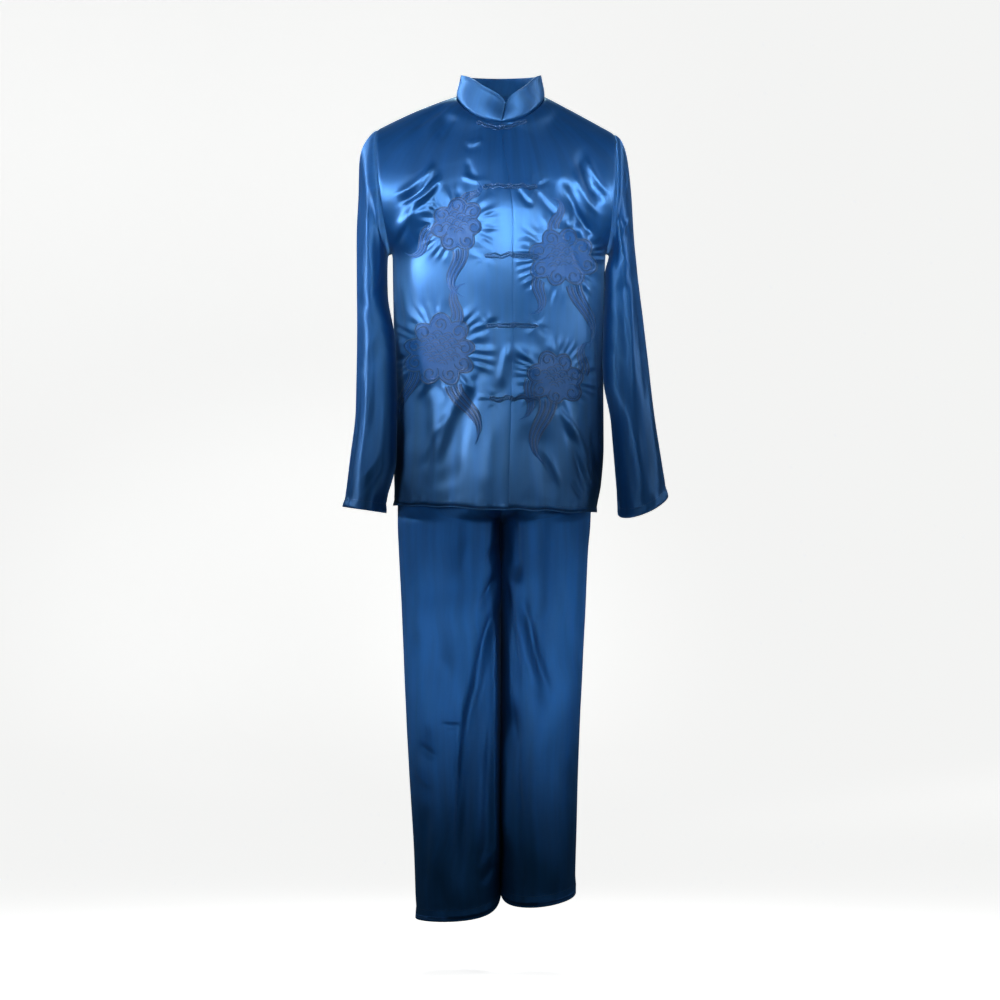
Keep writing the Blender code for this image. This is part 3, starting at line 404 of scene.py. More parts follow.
# Mesh columns and rows
FRONT_GRID = (88, 236)
BACK_GRID = (62, 190)
SLEEVE_GRID = (100, 176)
TROUSER_GRID = (54, 190)
COLLAR_GRID = (150, 22)
BAND_GRID = (240, 12)
GROUND_GRID = (126, 22)

# Cords of the frogs: points along one side of a loop, and the radius of the knots' own cord
CORD_STEPS = 72
KNOT_CORD = 0.00125
KNOT_STEPS = 120
COLLAR_STITCH = 0.0035

METRES = {"subtype": "DISTANCE", "unit": "LENGTH"}
COLOUR = {"size": 3, "min": 0, "max": 1, "subtype": "COLOR"}


class SuitSizes(bpy.types.PropertyGroup):
    """Sizes that a maker would change."""

    cloth: bpy.props.FloatProperty(
        name="Cloth", description="Thickness of the satin", default=0.0008, min=0.0003, **METRES)
    collar_cloth: bpy.props.FloatProperty(
        name="Collar", description="Thickness of the stiffened collar", default=0.0016, **METRES)
    jacket_hem: bpy.props.FloatProperty(
        name="Jacket hem", description="Height of the jacket's hem", default=0.0120, **METRES)
    cuff: bpy.props.FloatProperty(
        name="Cuff", description="Height of the cuffs' turned edge", default=0.0160, **METRES)
    trouser_hem: bpy.props.FloatProperty(
        name="Trouser hem", description="Height of the trousers' hem", default=0.0200, **METRES)
    stitch: bpy.props.FloatProperty(
        name="Stitch", description="Length of one sewn stitch", default=0.0028, **METRES)
    stitch_radius: bpy.props.FloatProperty(
        name="Sewing thread", description="Radius of the sewing thread", default=0.00028, **METRES)
    cord_radius: bpy.props.FloatProperty(
        name="Frog cord", description="Radius of a frog's cord", default=0.0015, **METRES)
    knot_radius: bpy.props.FloatProperty(
        name="Knot", description="Radius of a frog's knot button", default=0.0047, **METRES)
    satin_stitch: bpy.props.FloatProperty(
        name="Embroidery", description="How far the embroidery stands up", default=0.0007, **METRES)
    creases: bpy.props.FloatProperty(
        name="Creases", description="Strength of the fine creases", default=1.0, min=0.0, max=2.0,
        subtype="FACTOR")


class SuitColours(bpy.types.PropertyGroup):
    """Colours of the cloth, the threads and the studio."""

    jacket: bpy.props.FloatVectorProperty(
        name="Jacket", description="Satin of the jacket", default=(0.0042, 0.0455, 0.1800), **COLOUR)
    trousers: bpy.props.FloatVectorProperty(
        name="Trousers", description="Satin of the trousers", default=(0.0036, 0.0450, 0.1950), **COLOUR)
    cord: bpy.props.FloatVectorProperty(
        name="Frogs", description="Cord of the frogs", default=(0.0060, 0.0420, 0.1500), **COLOUR)
    thread: bpy.props.FloatVectorProperty(
        name="Embroidery", description="Embroidery thread", default=(0.0060, 0.0560, 0.2150), **COLOUR)
    floor: bpy.props.FloatVectorProperty(
        name="Floor", description="Floor and backdrop", default=(0.86, 0.86, 0.86), **COLOUR)


def smooth_curve(keys, values, at):
    """Values between the given ones, on a smooth curve with no overshoot."""
    keys = np.asarray(keys, float)
    values = np.asarray(values, float)
    step = np.diff(keys)
    rise = np.diff(values) / step
    both = rise[1:] * rise[:-1]
    total = np.where(both > 0, rise[1:] + rise[:-1], 1.0)
    slope = np.empty_like(values)
    slope[1:-1] = np.where(both > 0, 2 * both / total, 0.0)
    slope[0] = rise[0]
    slope[-1] = rise[-1]
    i = np.clip(np.searchsorted(keys, at) - 1, 0, len(keys) - 2)
    t = np.clip((at - keys[i]) / step[i], 0.0, 1.0)
    return (values[i] * (1 + 2 * t) * (1 - t) ** 2 + values[i + 1] * t * t * (3 - 2 * t)
            + step[i] * (slope[i] * t * (1 - t) ** 2 - slope[i + 1] * t * t * (1 - t)))


def column(table, key, name, at):
    """One column of a table, read at the given keys."""
    keys = [getattr(row, key) for row in table]
    return smooth_curve(keys, [getattr(row, name) for row in table], np.asarray(at, float))


def ease(value):
    """0 to 1, slow at both ends."""
    t = np.clip(value, 0.0, 1.0)
    return t * t * (3 - 2 * t)


def bell(value):
    """1 at zero, and next to nothing past 2 on either side."""
    return np.exp(-np.square(value))


def points(x, y, z):
    """Stack coordinates into points."""
    return np.stack(np.broadcast_arrays(x, y, z), axis=-1)


def unit(vectors):
    """Vectors made one long."""
    return vectors / (np.linalg.norm(vectors, axis=-1, keepdims=True) + 1e-12)


def run_along(line):
    """Metres along a line of points."""
    return np.concatenate([[0.0], np.cumsum(np.linalg.norm(np.diff(line, axis=0), axis=1))])


def turned(a, b, degrees):
    """Coordinates after a turn."""
    turn = math.radians(degrees)
    return a * math.cos(turn) - b * math.sin(turn), a * math.sin(turn) + b * math.cos(turn)


def in_oval(oval, x, z):
    """Places as shares of the two radii of a turned oval."""
    a, b = turned(x - oval.x, z - oval.z, -oval.turn)
    return a / oval.radius_x, b / oval.radius_z


def noise_at(x, y, z):
    """Smooth noise from -1 to 1."""
    x, y, z = np.broadcast_arrays(x, y, z)
    return np.array([noise.noise(place) for place in zip(x.ravel(), y.ravel(), z.ravel())]).reshape(x.shape)


def ripple(wave, along, up, seed):
    """The height of waves in the cloth."""
    return wave.height * noise_at(along * wave.across, up * wave.up, seed)


def ripples(waves, along, up, seed):
    """The height of waves of several sizes."""
    return sum(ripple(wave, along, up, seed + number) for number, wave in enumerate(waves))


def crease_height(creases, x, z):
    """How far creases lift or sink the cloth at places seen flat."""
    height = np.zeros(np.broadcast(x, z).shape)
    for x0, z0, x1, z1, bow, width, depth in creases:
        length = math.hypot(x1 - x0, z1 - z0)
        along = ((x1 - x0) / length, (z1 - z0) / length)
        t = ((x - x0) * along[0] + (z - z0) * along[1]) / length
        off = (x - x0) * along[1] - (z - z0) * along[0] - bow * 4 * t * (1 - t)
        fade = ease(t / CREASE_FADE) * ease((1 - t) / CREASE_FADE)
        height = height + depth * fade * bell(off / width)
    return height


def opening_x(z):
    """Where the edges of the two fronts meet, at a height."""
    return float(column(OPENING, "z", "x", z))


def neck_ring(angle, side):
    """A point of the neck seam, by its angle from the centre front."""
    x = OUTWARD[side] * NECK_HALF_WIDTH * np.sin(angle) + OPENING[-1].x * np.cos(angle / 2) ** 2
    y = NECK_MIDDLE_Y - NECK_HALF_DEPTH * np.cos(angle)
    rise = (NECK_BACK_Z - NECK_FRONT_Z) * (1 - np.cos(angle)) / 2
    return points(x, y, NECK_FRONT_Z + rise + NECK_SIDE_RISE * np.sin(angle) ** 2)


def armhole_ring(angle, side):
    """A point of the armhole seam: 0 at the armpit, pi at the shoulder tip, below pi in front."""
    hole = ARMHOLE[side]
    x = (hole.tip_x + hole.pit_x) / 2 - (hole.tip_x - hole.pit_x) / 2 * np.cos(angle)
    x = x + hole.bow * np.abs(np.sin(angle))
    z = (hole.tip_z + hole.pit_z) / 2 - (hole.tip_z - hole.pit_z) / 2 * np.cos(angle)
    y = -hole.half_depth * np.sin(angle) * (1 + ARMHOLE_LOW_FULLNESS * np.cos(angle))
    return points(x, y, z)


def panel_middle(side, facing, v):
    """A jacket panel's inner edge: up the middle from the hem, then along the neck seam."""
    pit_z = ARMHOLE[side].pit_z
    low_z = HEM_Z + (pit_z - HEM_Z) * v / PIT_ROW
    neck_z = NECK_FRONT_Z if facing < 0 else NECK_BACK_Z
    mid_z = pit_z + (neck_z - pit_z) * (v - PIT_ROW) / (NECK_ROW - PIT_ROW)
    z = np.where(v <= PIT_ROW, low_z, np.minimum(mid_z, neck_z))
    depth = column(BODY, "z", "front" if facing < 0 else "back", z)
    x = column(OPENING, "z", "x", z) if facing < 0 else np.zeros_like(z)
    turn = np.clip((v - NECK_ROW) / (1 - NECK_ROW), 0.0, 1.0)
    if facing < 0:
        neck_angle = turn * NECK_POINT_ANGLE
    else:
        neck_angle = math.pi - turn * (math.pi - NECK_POINT_ANGLE)
    return np.where((v > NECK_ROW)[..., None], neck_ring(neck_angle, side), points(x, facing * depth, z))


def panel_side(side, facing, v):
    """A jacket panel's outer edge: up the side seam, then round the armhole to the shoulder tip."""
    low_z = HEM_Z + (ARMHOLE[side].pit_z - HEM_Z) * v / PIT_ROW
    angle = math.pi * np.clip((v - PIT_ROW) / (1 - PIT_ROW), 0.0, 1.0)
    armhole = armhole_ring(angle if facing < 0 else -angle, side)
    seam = points(column(BODY, "z", side, low_z), 0.0, low_z)
    return np.where((v > PIT_ROW)[..., None], armhole, seam)


def push_out(place, height, middle_x=0.0, middle_y=0.0):
    """The move of points level and away from an upright axis."""
    out_x = place[..., 0] - middle_x
    out_y = (place[..., 1] - middle_y) * CREASE_FACING
    size = np.hypot(out_x, out_y) + 1e-9
    return points(out_x / size * height, out_y / size * height, np.zeros_like(height))


def body_panel(side, facing, u, v):
    """A point of the jacket's front (facing -1) or back (1): u from the middle to the side, v upwards."""
    inner = panel_middle(side, facing, v)
    passes = [panel_middle(side, facing, np.clip(v + shift, 0.0, 1.0)) for shift in NECK_SWEEP]
    swept = ease(u / SWEEP_ACROSS) ** 2 * ease((v - PIT_ROW) / SWEEP_UP) * ease((1 - v) / SWEEP_TOP)
    inner = inner + (sum(passes) / len(passes) - inner) * swept[..., None]
    outer = panel_side(side, facing, v)

    high = np.clip((v - PIT_ROW) / (1 - PIT_ROW), 0.0, 1.0)
    round_part = 1 - ease(high / CHEST_ROUND_TO)
    along_x = round_part * np.sin(u * math.pi / 2) + (1 - round_part) * u
    along_y = round_part * (1 - np.cos(u * math.pi / 2)) + (1 - round_part) * u ** SHOULDER_ROUNDNESS
    along_z = u ** (1.5 - 0.5 * high)
    place = inner + (outer - inner) * points(along_x, along_y, along_z)
    place[..., 2] += ARMHOLE[side].shoulder_round * np.sin(math.pi * u) * high ** 2
    place[..., 2] += HEM_TILT * place[..., 0] * (1 - ease(v / (PIT_ROW * HEM_TILT_TO)))
    place[..., 1] += (facing * SLIT_OPEN * u ** SLIT_SHARPNESS
                      * (1 - ease((place[..., 2] - HEM_Z) / SLIT_HEIGHT)))

    creases = MAIN_FRONT if facing < 0 else MAIN_BACK
    beside = ease((1 - u) / SIDE_CALM)
    fade = np.where(high > 0, beside * ease((1 - high) / TOP_CALM), beside)
    place = place + push_out(place, crease_height(creases, place[..., 0], place[..., 2]) * fade)
    place[..., 1] += facing * 0.5 * SEAM_GAP * np.maximum(u ** EDGE_SHARPNESS, v ** EDGE_SHARPNESS)
    return place


def sleeve_tube(side, angle, step):
    """A point of a sleeve: the angle round it from the underarm, step -1 at the armhole to 9 at the cuff."""
    keys = np.arange(len(SLEEVE[side]), dtype=float)
    row = SleeveRow(*(smooth_curve(keys, [getattr(row, name) for row in SLEEVE[side]], step)
                      for name in SleeveRow._fields))
    half_x = (row.outer_x - row.inner_x) / 2
    half_z = (row.outer_z - row.inner_z) / 2
    x = row.inner_x + half_x - half_x * np.cos(angle) + row.bow * np.abs(np.sin(angle))
    z = row.inner_z + half_z - half_z * np.cos(angle) - row.front_drop * np.sin(angle)
    low_fullness = 1 + ARMHOLE_LOW_FULLNESS * np.cos(angle) * (1 - ease(step / LOW_FULLNESS_TO))
    y = row.middle_y - row.half_depth * np.sin(angle) * low_fullness
    before = crease_height(MAIN_SLEEVE_FRONT, x, z)
    behind = crease_height(MAIN_SLEEVE_BACK, x, z)
    height = np.where(np.sin(angle) > 0, before, behind)
    height = height * ease(np.abs(np.sin(angle)) / SLEEVE_SEAM_FADE) * ease(step / SLEEVE_HEAD_FADE)
    tube = points(x, y, z)
    tube = tube + push_out(tube, height, row.inner_x + half_x, row.middle_y)

    seam = armhole_ring(angle, side)
    seam[..., 0] += OUTWARD[side] * SEAM_GAP
    lip = seam.copy()
    lip[..., 0] += OUTWARD[side] * SLEEVE_LIP
    lip[..., 2] -= SLEEVE_LIP * SHOULDER_SLOPE * (1 - np.cos(angle)) / 2
    to_lip = np.clip((step + 1) / (1 + LIP_STEP), 0.0, 1.0)[..., None]
    to_head = ease((step - LIP_STEP) / -LIP_STEP)[..., None]
    return np.where((step < LIP_STEP)[..., None], seam + (lip - seam) * to_lip, lip + (tube - lip) * to_head)


def leg_ring(side, z, angle):
    """A point of a trouser leg: 0 at the front, pi/2 at the side seam, pi at the back."""
    width = np.abs(column(TROUSERS, "z", side, z) - LEG_SPLIT_X)
    height = np.clip((z - CROTCH_Z) / CROTCH_HEIGHT, 0.0, 1.0)
    middle = width / 2 * (1 - height) ** CROTCH_ROUNDNESS
    radius = width - middle
    start = -np.arcsin(np.clip(middle / radius, 0.0, 1.0))
    side_share = np.where(angle <= math.pi / 2, angle, math.pi - angle) / (math.pi / 2)
    turned = -math.pi / 2 + math.pi * side_share
    turned = turned + (start + math.pi / 2) * (1 - side_share) ** CROTCH_ROUNDNESS
    turned = np.where(angle <= math.pi / 2, turned, math.pi - turned)
    depth = np.where(np.cos(turned) > 0, column(TROUSERS, "z", "front", z), column(TROUSERS, "z", "back", z))
    gap = SEAM_GAP + (INSEAM_GAP - SEAM_GAP) * ease((CROTCH_Z - z) / 0.03)
    x = np.maximum(middle + radius * np.sin(turned), 0.0) + gap / 2
    return points(LEG_SPLIT_X + OUTWARD[side] * x, -depth * np.cos(turned), z)


def trouser_panel(side, facing, t, z):
    """A point of a trouser piece: t from the middle to the side seam, at a height."""
    angle = t * math.pi / 2 if facing < 0 else math.pi - t * math.pi / 2
    place = leg_ring(side, z, angle)
    creases = MAIN_TROUSER_FRONT if facing < 0 else MAIN_TROUSER_BACK
    fade = ease((1 - t) / CREASE_FADE) * ease(t / CREASE_FADE)
    place[..., 1] += facing * crease_height(creases, place[..., 0], place[..., 2]) * fade
    if side == "right" and facing < 0:
        hang = ease((INNER_FOLD.begin - z) / INNER_FOLD.fade) * ease((z - INNER_FOLD.end) / INNER_FOLD.fade)
        place[..., 1] -= INNER_FOLD.forward * bell((t - INNER_FOLD.share) / INNER_FOLD.spread) * hang
    hem = TROUSER_HEM[side]
    rise = hem.inner_rise * (1 - t) ** 5 + hem.outer_rise * t ** 2
    place[..., 2] += rise * (1 - ease((z - hem.z) / HEM_RISE_FADE))
    place[..., 1] += facing * 0.5 * SEAM_GAP * np.maximum(t ** EDGE_SHARPNESS, (1 - t) ** EDGE_SHARPNESS)
    return place


def spread(count):
    """Shares from 0 to 1, with close ones at both ends for the seams' rounded edges."""
    inside = np.linspace(0.0, 1.0, count - 3)
    close = 0.0022
    return np.concatenate([[0.0, close], [2.6 * close], inside[1:-1], [1 - 2.6 * close], [1 - close, 1.0]])


def edge_distance(grid, axis, last):
    """Metres along the cloth from one edge of a grid of points: the first or last row or column."""
    steps = np.linalg.norm(np.diff(grid, axis=axis), axis=2)
    run = np.cumsum(steps, axis=axis)
    zero = np.zeros_like(run[:1] if axis == 0 else run[:, :1])
    run = np.concatenate([zero, run], axis=axis)
    if last:
        return (run[-1:] if axis == 0 else run[:, -1:]) - run
    return run


def edges_of(grid):
    """Metres along the cloth from a grid's first and last row, and from its first and last column."""
    return [edge_distance(grid, axis, last) for axis in (0, 1) for last in (False, True)]


def normals_of(grid, sign):
    """Unit directions out of a grid of points."""
    across = np.gradient(grid, axis=1)
    up = np.gradient(grid, axis=0)
    return unit(np.cross(across, up) * sign)


def hem_height(rise, along, height, seed):
    """The turned edge of a hem: a doubled band, the stitched groove over it, its puckers and its waves."""
    above = rise - height
    band = HEM_BAND * (1 - ease(above / 0.003)) - HEM_GROOVE * bell(above / 0.0020)
    pucker = ripple(HEM_PUCKER, along, rise, seed) * bell(above / 0.010)
    wave = ripple(HEM_WAVE, along, rise, seed + 3) * (1 - ease(rise / 0.05))
    flare = HEM_FLARE * (1 - ease(rise / height))
    return band + pucker + wave + flare


def soften_rows(grid, weight):
    """Smooth a grid of points from row to row where the weight is above zero."""
    for _ in range(SOFTEN_PASSES):
        mean = grid.copy()
        mean[1:-1] = (grid[:-2] + 2 * grid[1:-1] + grid[2:]) / 4
        grid = grid + (mean - grid) * weight[..., None]
    return grid


def seam_height(distance):
    """A seam's rounded edge, drawn in by its stitches."""
    return -SEAM_DEPTH * bell(distance / SEAM_WIDTH)


def seam_share(distance):
    """How far a place lies in a seam's own edge, from its distance to it."""
    return 1 - ease(distance / SEAM_EDGE)


def pucker_height(puckers, x, z):
    """Wrinkles that radiate from gathered places, strongest at their rims."""
    height = np.zeros(np.shape(x))
    for number, pucker in enumerate(puckers):
        a, b = in_oval(pucker, x, z)
        spread_out = np.hypot(a, b)
        around = np.arctan2(b, a)
        near = np.abs(spread_out - PUCKER_RIM) < pucker.reach * 2.5
        wobble = np.zeros(np.shape(x))
        wobble[near] = noise_at(np.cos(around[near]) * 2.2, np.sin(around[near]) * 2.2, number + 0.5)
        rays = np.cos(around * pucker.rays + wobble * 9.0) * (0.35 + 0.9 * np.abs(wobble)) + 0.8 * wobble
        height += pucker.depth * rays * bell((spread_out - PUCKER_RIM) / pucker.reach)
    return height


# Tints of the satin's and the threads' highlights, and of their sheen
PALE_TINT = (0.50, 0.95, 1.0)
DEEP_TINT = (0.35, 0.85, 1.0)
THREAD_TINT = (0.55, 0.78, 1.0)
SATIN_SHEEN = (0.35, 0.62, 1.0)
THREAD_SHEEN = (0.30, 0.55, 1.0)


def new_material(name, sockets):
    """A material whose own shader has these values, with its nodes and its shader's inputs."""
    material = bpy.data.materials.new(name)
    material.use_nodes = True
    inputs = material.node_tree.nodes["Principled BSDF"].inputs
    for socket, value in sockets.items():
        inputs[socket].default_value = value
    return material, material.node_tree, inputs


def add_node(tree, kind, sockets=None, feeds=None, **settings):
    """Add a node, with values for its sockets, what feeds them and its own settings."""
    node = tree.nodes.new("ShaderNode" + kind)
    for name, value in settings.items():
        setattr(node, name, value)
    for socket, value in (sockets or {}).items():
        node.inputs[socket].default_value = value
    for socket, source in (feeds or {}).items():
        tree.links.new(source, node.inputs[socket])
    return node


def add_noise(tree, place, scale, detail):
    """Noise at a place."""
    return add_node(tree, "TexNoise", {"Scale": scale, "Detail": detail}, {"Vector": place}).outputs["Fac"]


def add_stretch(tree, place, scale):
    """A place in a pattern that is drawn out along the threads."""
    return add_node(tree, "Mapping", {"Scale": scale}, {"Vector": place}).outputs["Vector"]


def add_shades(tree, factor, colour, shares, positions=(0.0, 1.0)):
    """A change between two shades of a colour."""
    node = add_node(tree, "ValToRGB", feeds={"Fac": factor})
    for element, share, position in zip(node.color_ramp.elements, shares, positions):
        element.position = position
        element.color = (*[min(1.0, part * share) for part in colour], 1.0)
    return node.outputs["Color"]


def add_bump(tree, height, strength, distance, **under):
    """Relief on the surface, over what lies under it."""
    node = add_node(tree, "Bump", {"Strength": strength, "Distance": distance}, {"Height": height, **under})
    return node.outputs["Normal"]


def satin_material(name, colour, roughness, shine, tint, stretch=0.0):
    """Satin: long warp threads that stretch its highlights, a fine weave and slight changes of shade."""
    material, tree, inputs = new_material(name, {
        "Roughness": roughness, "Metallic": 0.55 if stretch else 0.0, "Specular IOR Level": shine,
        "Specular Tint": (*tint, 1.0), "Sheen Weight": 0.04, "Sheen Roughness": 0.45,
        "Sheen Tint": (*SATIN_SHEEN, 1.0), "Anisotropic": stretch})
    if stretch:
        tangent = add_node(tree, "Tangent", direction_type="UV_MAP", uv_map="UVMap")
        tree.links.new(tangent.outputs["Tangent"], inputs["Tangent"])
    place = add_node(tree, "TexCoord").outputs["UV"]
    threads = add_noise(tree, add_stretch(tree, place, (2600.0, 240.0, 1.0)), 1.0, 2.0)
    slubs = add_noise(tree, add_stretch(tree, place, (70.0, 5.0, 1.0)), 1.0, 4.0)
    crinkle = add_noise(tree, place, 75.0, 3.0)
    tree.links.new(add_shades(tree, slubs, colour, (0.82, 1.16), (0.30, 0.72)), inputs["Base Color"])
    soft_bump = add_bump(tree, crinkle, 0.25, 0.0004)
    tree.links.new(add_bump(tree, threads, 0.10, 0.00005, Normal=soft_bump), inputs["Normal"])
    return material


def thread_material(name, colour, stripes, roughness, shine, metallic=0.0):
    """Thread laid side by side: fine ridges across each stroke, by its own UV map, with painted shade in
    their grooves and a painted highlight on their crests.
    """
    material, tree, inputs = new_material(name, {
        "Roughness": roughness, "Metallic": metallic, "Specular IOR Level": shine,
        "Specular Tint": (*THREAD_TINT, 1.0), "Sheen Weight": 0.25, "Sheen Roughness": 0.4,
        "Sheen Tint": (*THREAD_SHEEN, 1.0)})
    place = add_node(tree, "TexCoord").outputs["UV"]
    values = {"Scale": stripes, "Distortion": 1.2, "Detail": 2.0}
    ridges = add_node(tree, "TexWave", values, {"Vector": place}, wave_type="BANDS",
                      bands_direction="Y").outputs["Fac"]
    # The colour follows the ridges: painted shade in the grooves and a painted highlight on the crests
    tree.links.new(add_shades(tree, ridges, colour, (0.55, 1.25)), inputs["Base Color"])
    tree.links.new(add_bump(tree, ridges, 0.6, 0.0002), inputs["Normal"])
    return material


def plain_material(name, colour, roughness):
    """A matt finish with a faint glow of its own, for the studio."""
    return new_material(name, {
        "Base Color": (*colour, 1.0), "Roughness": roughness, "Specular IOR Level": 0.2,
        "Emission Color": (0.965, 0.975, 1.0, 1.0), "Emission Strength": 0.84})[0]


def finish_material(kind):
    """One of the suit's materials, made the first time that it is asked for."""
    ready = bpy.data.materials.get(kind)
    if ready:
        return ready
    colours = bpy.context.scene.suit_colours
    dull = [part * 0.75 for part in colours.jacket]
    line = [part * 0.42 for part in colours.thread]
    make, *values = {
        "jacket_face": (satin_material, colours.jacket, 0.50, 0.90, PALE_TINT, 0.88),
        "sleeve_face": (satin_material, colours.jacket, 0.62, 0.90, PALE_TINT, 0.92),
        "jacket_reverse": (satin_material, dull, 0.62, 0.25, DEEP_TINT),
        "trouser_face": (satin_material, colours.trousers, 0.54, 0.60, DEEP_TINT, 0.90),
        "trouser_reverse": (satin_material, dull, 0.62, 0.25, DEEP_TINT),
        "cord": (thread_material, colours.cord, 450.0, 0.30, 0.8, 0.5),
        "embroidery": (thread_material, colours.thread, 1100.0, 0.50, 0.35),
        "embroidery_line": (thread_material, line, 1100.0, 0.45, 0.5),
        "sewing_thread": (thread_material, colours.cord, 2500.0, 0.5, 0.4),
        "studio": (plain_material, colours.floor, 0.85),
    }[kind]
    return make(kind, *values)


def keep_piece(name, bm, finishes, replaces=()):
    """Make a shaded object of a bmesh, ride it on the suit's body and let it stand for its solids."""
    mesh = bpy.data.meshes.new(name)
    bm.to_mesh(mesh)
    bm.free()
    mesh.shade_smooth()
    for finish in finishes:
        mesh.materials.append(finish_material(finish))
    piece = bpy.data.objects.new(name, mesh)
    bpy.context.scene.collection.objects.link(piece)
    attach(piece, BODY_NAME)
    if replaces:
        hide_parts(*replaces)
    return piece


def round_body(grid):
    """How far places on the jacket's body are from the centre front, round the body."""
    turn = np.arctan2(grid[..., 0] / BODY_HALF_WIDTH, -grid[..., 1] / BODY_HALF_DEPTH)
    turn = np.where(grid[..., 1] > 0, np.copysign(turn, grid[..., 0].mean()), turn)
    return turn * (BODY_HALF_WIDTH + BODY_HALF_DEPTH) / 2


def cloth_mesh(grid, flip, closed=False, on_body=False):
    """A sheet of cloth: a grid, moved to its form, with a UV map in metres along and across the cloth."""
    rows, columns = grid.shape[:2]
    bm = bmesh.new()
    bmesh.ops.create_grid(bm, x_segments=columns - 1, y_segments=rows - 1, size=0.5)
    bm.verts.ensure_lookup_table()
    for vertex, place in zip(bm.verts, grid.reshape(-1, 3)):
        vertex.co = place
    if on_body:
        across = round_body(grid).ravel()
        along = grid[..., 2].ravel()
    else:
        across = edge_distance(grid, 1, False).ravel()
        along = edge_distance(grid, 0, False).ravel()
    layer = bm.loops.layers.uv.new("UVMap")
    for face in bm.faces:
        for loop in face.loops:
            index = loop.vert.index
            loop[layer].uv = (across[index], along[index])
    if flip:
        bmesh.ops.reverse_faces(bm, faces=bm.faces)
    if closed:
        bmesh.ops.remove_doubles(bm, verts=bm.verts, dist=1e-6)
    return bm


def finish_cloth(piece, thickness):
    """Give cloth its thickness, inwards, with the satin's duller reverse inside."""
    solidify = piece.modifiers.new("Cloth thickness", "SOLIDIFY")
    solidify.thickness = thickness
    solidify.offset = -1.0
    solidify.use_even_offset = False
    solidify.material_offset = 1


# The grids of points of the finished cloth, which the stitching follows
CLOTH_GRIDS = {}


def sew_cloth(name, grid, sign, finishes, replaces, thickness, closed=False, on_body=False):
    """Make a piece of cloth of a grid of points."""
    CLOTH_GRIDS[name] = grid
    piece = keep_piece(name, cloth_mesh(grid, sign < 0, closed, on_body), finishes, replaces)
    finish_cloth(piece, thickness)


def front_puckers():
    """The places on the fronts where stitching gathers the cloth: frogs' ends and cloud banks."""
    puckers = []
    for frog in FROGS[1:]:
        for x in (opening_x(frog.z) - frog.right, opening_x(frog.z) + frog.left):
            puckers.append(Pucker(x, frog.z, *FROG_PUCKER))
    for bank in CLOUD_BANKS:
        puckers.append(Pucker(bank.x, bank.z, bank.radius_x + BANK_PUCKER_MARGIN,
                              bank.radius_z + BANK_PUCKER_MARGIN, bank.turn, *BANK_PUCKER))
    return puckers


def jacket_surface(side, facing, columns, rows):
    """The finished outer surface of half a jacket panel, as a grid of points."""
    sizes = bpy.context.scene.suit_sizes
    u, v = np.meshgrid(spread(columns), spread(rows))
    grid = body_panel(side, facing, u, v)
    grid = soften_rows(grid, bell((v - PIT_ROW) / 0.035) * ease((1 - u) / 0.06))
    if facing < 0:
        grid[..., 0] += 0.5 * SEAM_GAP * OUTWARD[side] * (1 - ease(u / 0.3))
    x = grid[..., 0]
    z = grid[..., 2]
    rise, to_top, from_middle, to_side = edges_of(grid)
    seed = 11.0 + 7.0 * facing + 3.0 * OUTWARD[side]

    height = crease_height(FINE_FRONT if facing < 0 else FINE_BACK, x, z)
    height = height + ripples(JACKET_WAVES, x, z, seed)
    if facing < 0:
        height = height + pucker_height(front_puckers(), x, z)
        crinkled = np.zeros_like(x)
        for bank in CLOUD_BANKS:
            if bank.side == side:
                crinkled = np.maximum(crinkled, 1 - ease((np.hypot(*in_oval(bank, x, z)) - 1.0) / 0.9))
        height = height + crinkled * ripple(BANK_CRINKLE, x, z, seed + 2)
    height = height * sizes.creases * ease(to_side / CREASE_CLEAR) * ease(to_top / CREASE_CLEAR)
    if facing < 0:
        height = height * (MIDDLE_CALM + (1 - MIDDLE_CALM) * ease(from_middle / MIDDLE_CLEAR))
        height = height + seam_height(from_middle) * 0.6
    height = height + hem_height(rise, x + 0.3 * facing, sizes.jacket_hem, seed + 5)
    height = height + seam_height(to_side) + seam_height(to_top)
    surface = grid + normals_of(grid, OUTWARD[side] * -facing) * height[..., None]
    surface[..., 2] += ripple(HEM_DROP, x, facing, 4.5) * (1 - ease(rise / 0.03))
    in_side_seam = seam_share(to_side) * ease((rise - SLIT_HEIGHT) / 0.01)
    surface[..., 1] -= facing * SEAM_OVERLAP * np.maximum(in_side_seam, seam_share(to_top))
    return surface


class SUIT_OT_fronts(bpy.types.Operator):
    """Make the two fronts of the jacket"""

    bl_idname = "suit.fronts"
    bl_label = "Jacket fronts"

    def execute(self, context):
        for side in SIDES:
            grid = jacket_surface(side, -1, *FRONT_GRID)
            sew_cloth("jacket_front_" + side, grid, OUTWARD[side], ("jacket_face", "jacket_reverse"),
                      ["front_" + side], context.scene.suit_sizes.cloth, on_body=True)
        return {"FINISHED"}


def soften_middle(right, left):
    """Join the halves of the back at their middle, below the neck, and round the fold between them."""
    rows = np.flatnonzero(np.abs(right[:, 0, 0]) < 1e-3)
    right[rows, 0] = left[rows, 0] = (right[rows, 0] + left[rows, 0]) / 2
    neck_z = right[rows[-1], 0, 2]
    for i in rows:
        across = np.concatenate([right[i, ::-1], left[i, 1:]])
        near = np.abs(across[:, 0]) < BACK_ROUND_TO + BACK_ROUNDING
        x = across[near, 0]
        width = BACK_ROUNDING * (1 - ease(np.abs(x) / BACK_ROUND_TO))
        width = width * ease((neck_z - right[i, 0, 2]) / 0.015)
        for k in (1, 2):
            around = [np.interp(x + width * share, x, across[near, k]) for share in np.linspace(-1.0, 1.0, 9)]
            across[near, k] = np.mean(around, axis=0)
        right[i] = across[:right.shape[1]][::-1]
        left[i] = across[right.shape[1] - 1:]


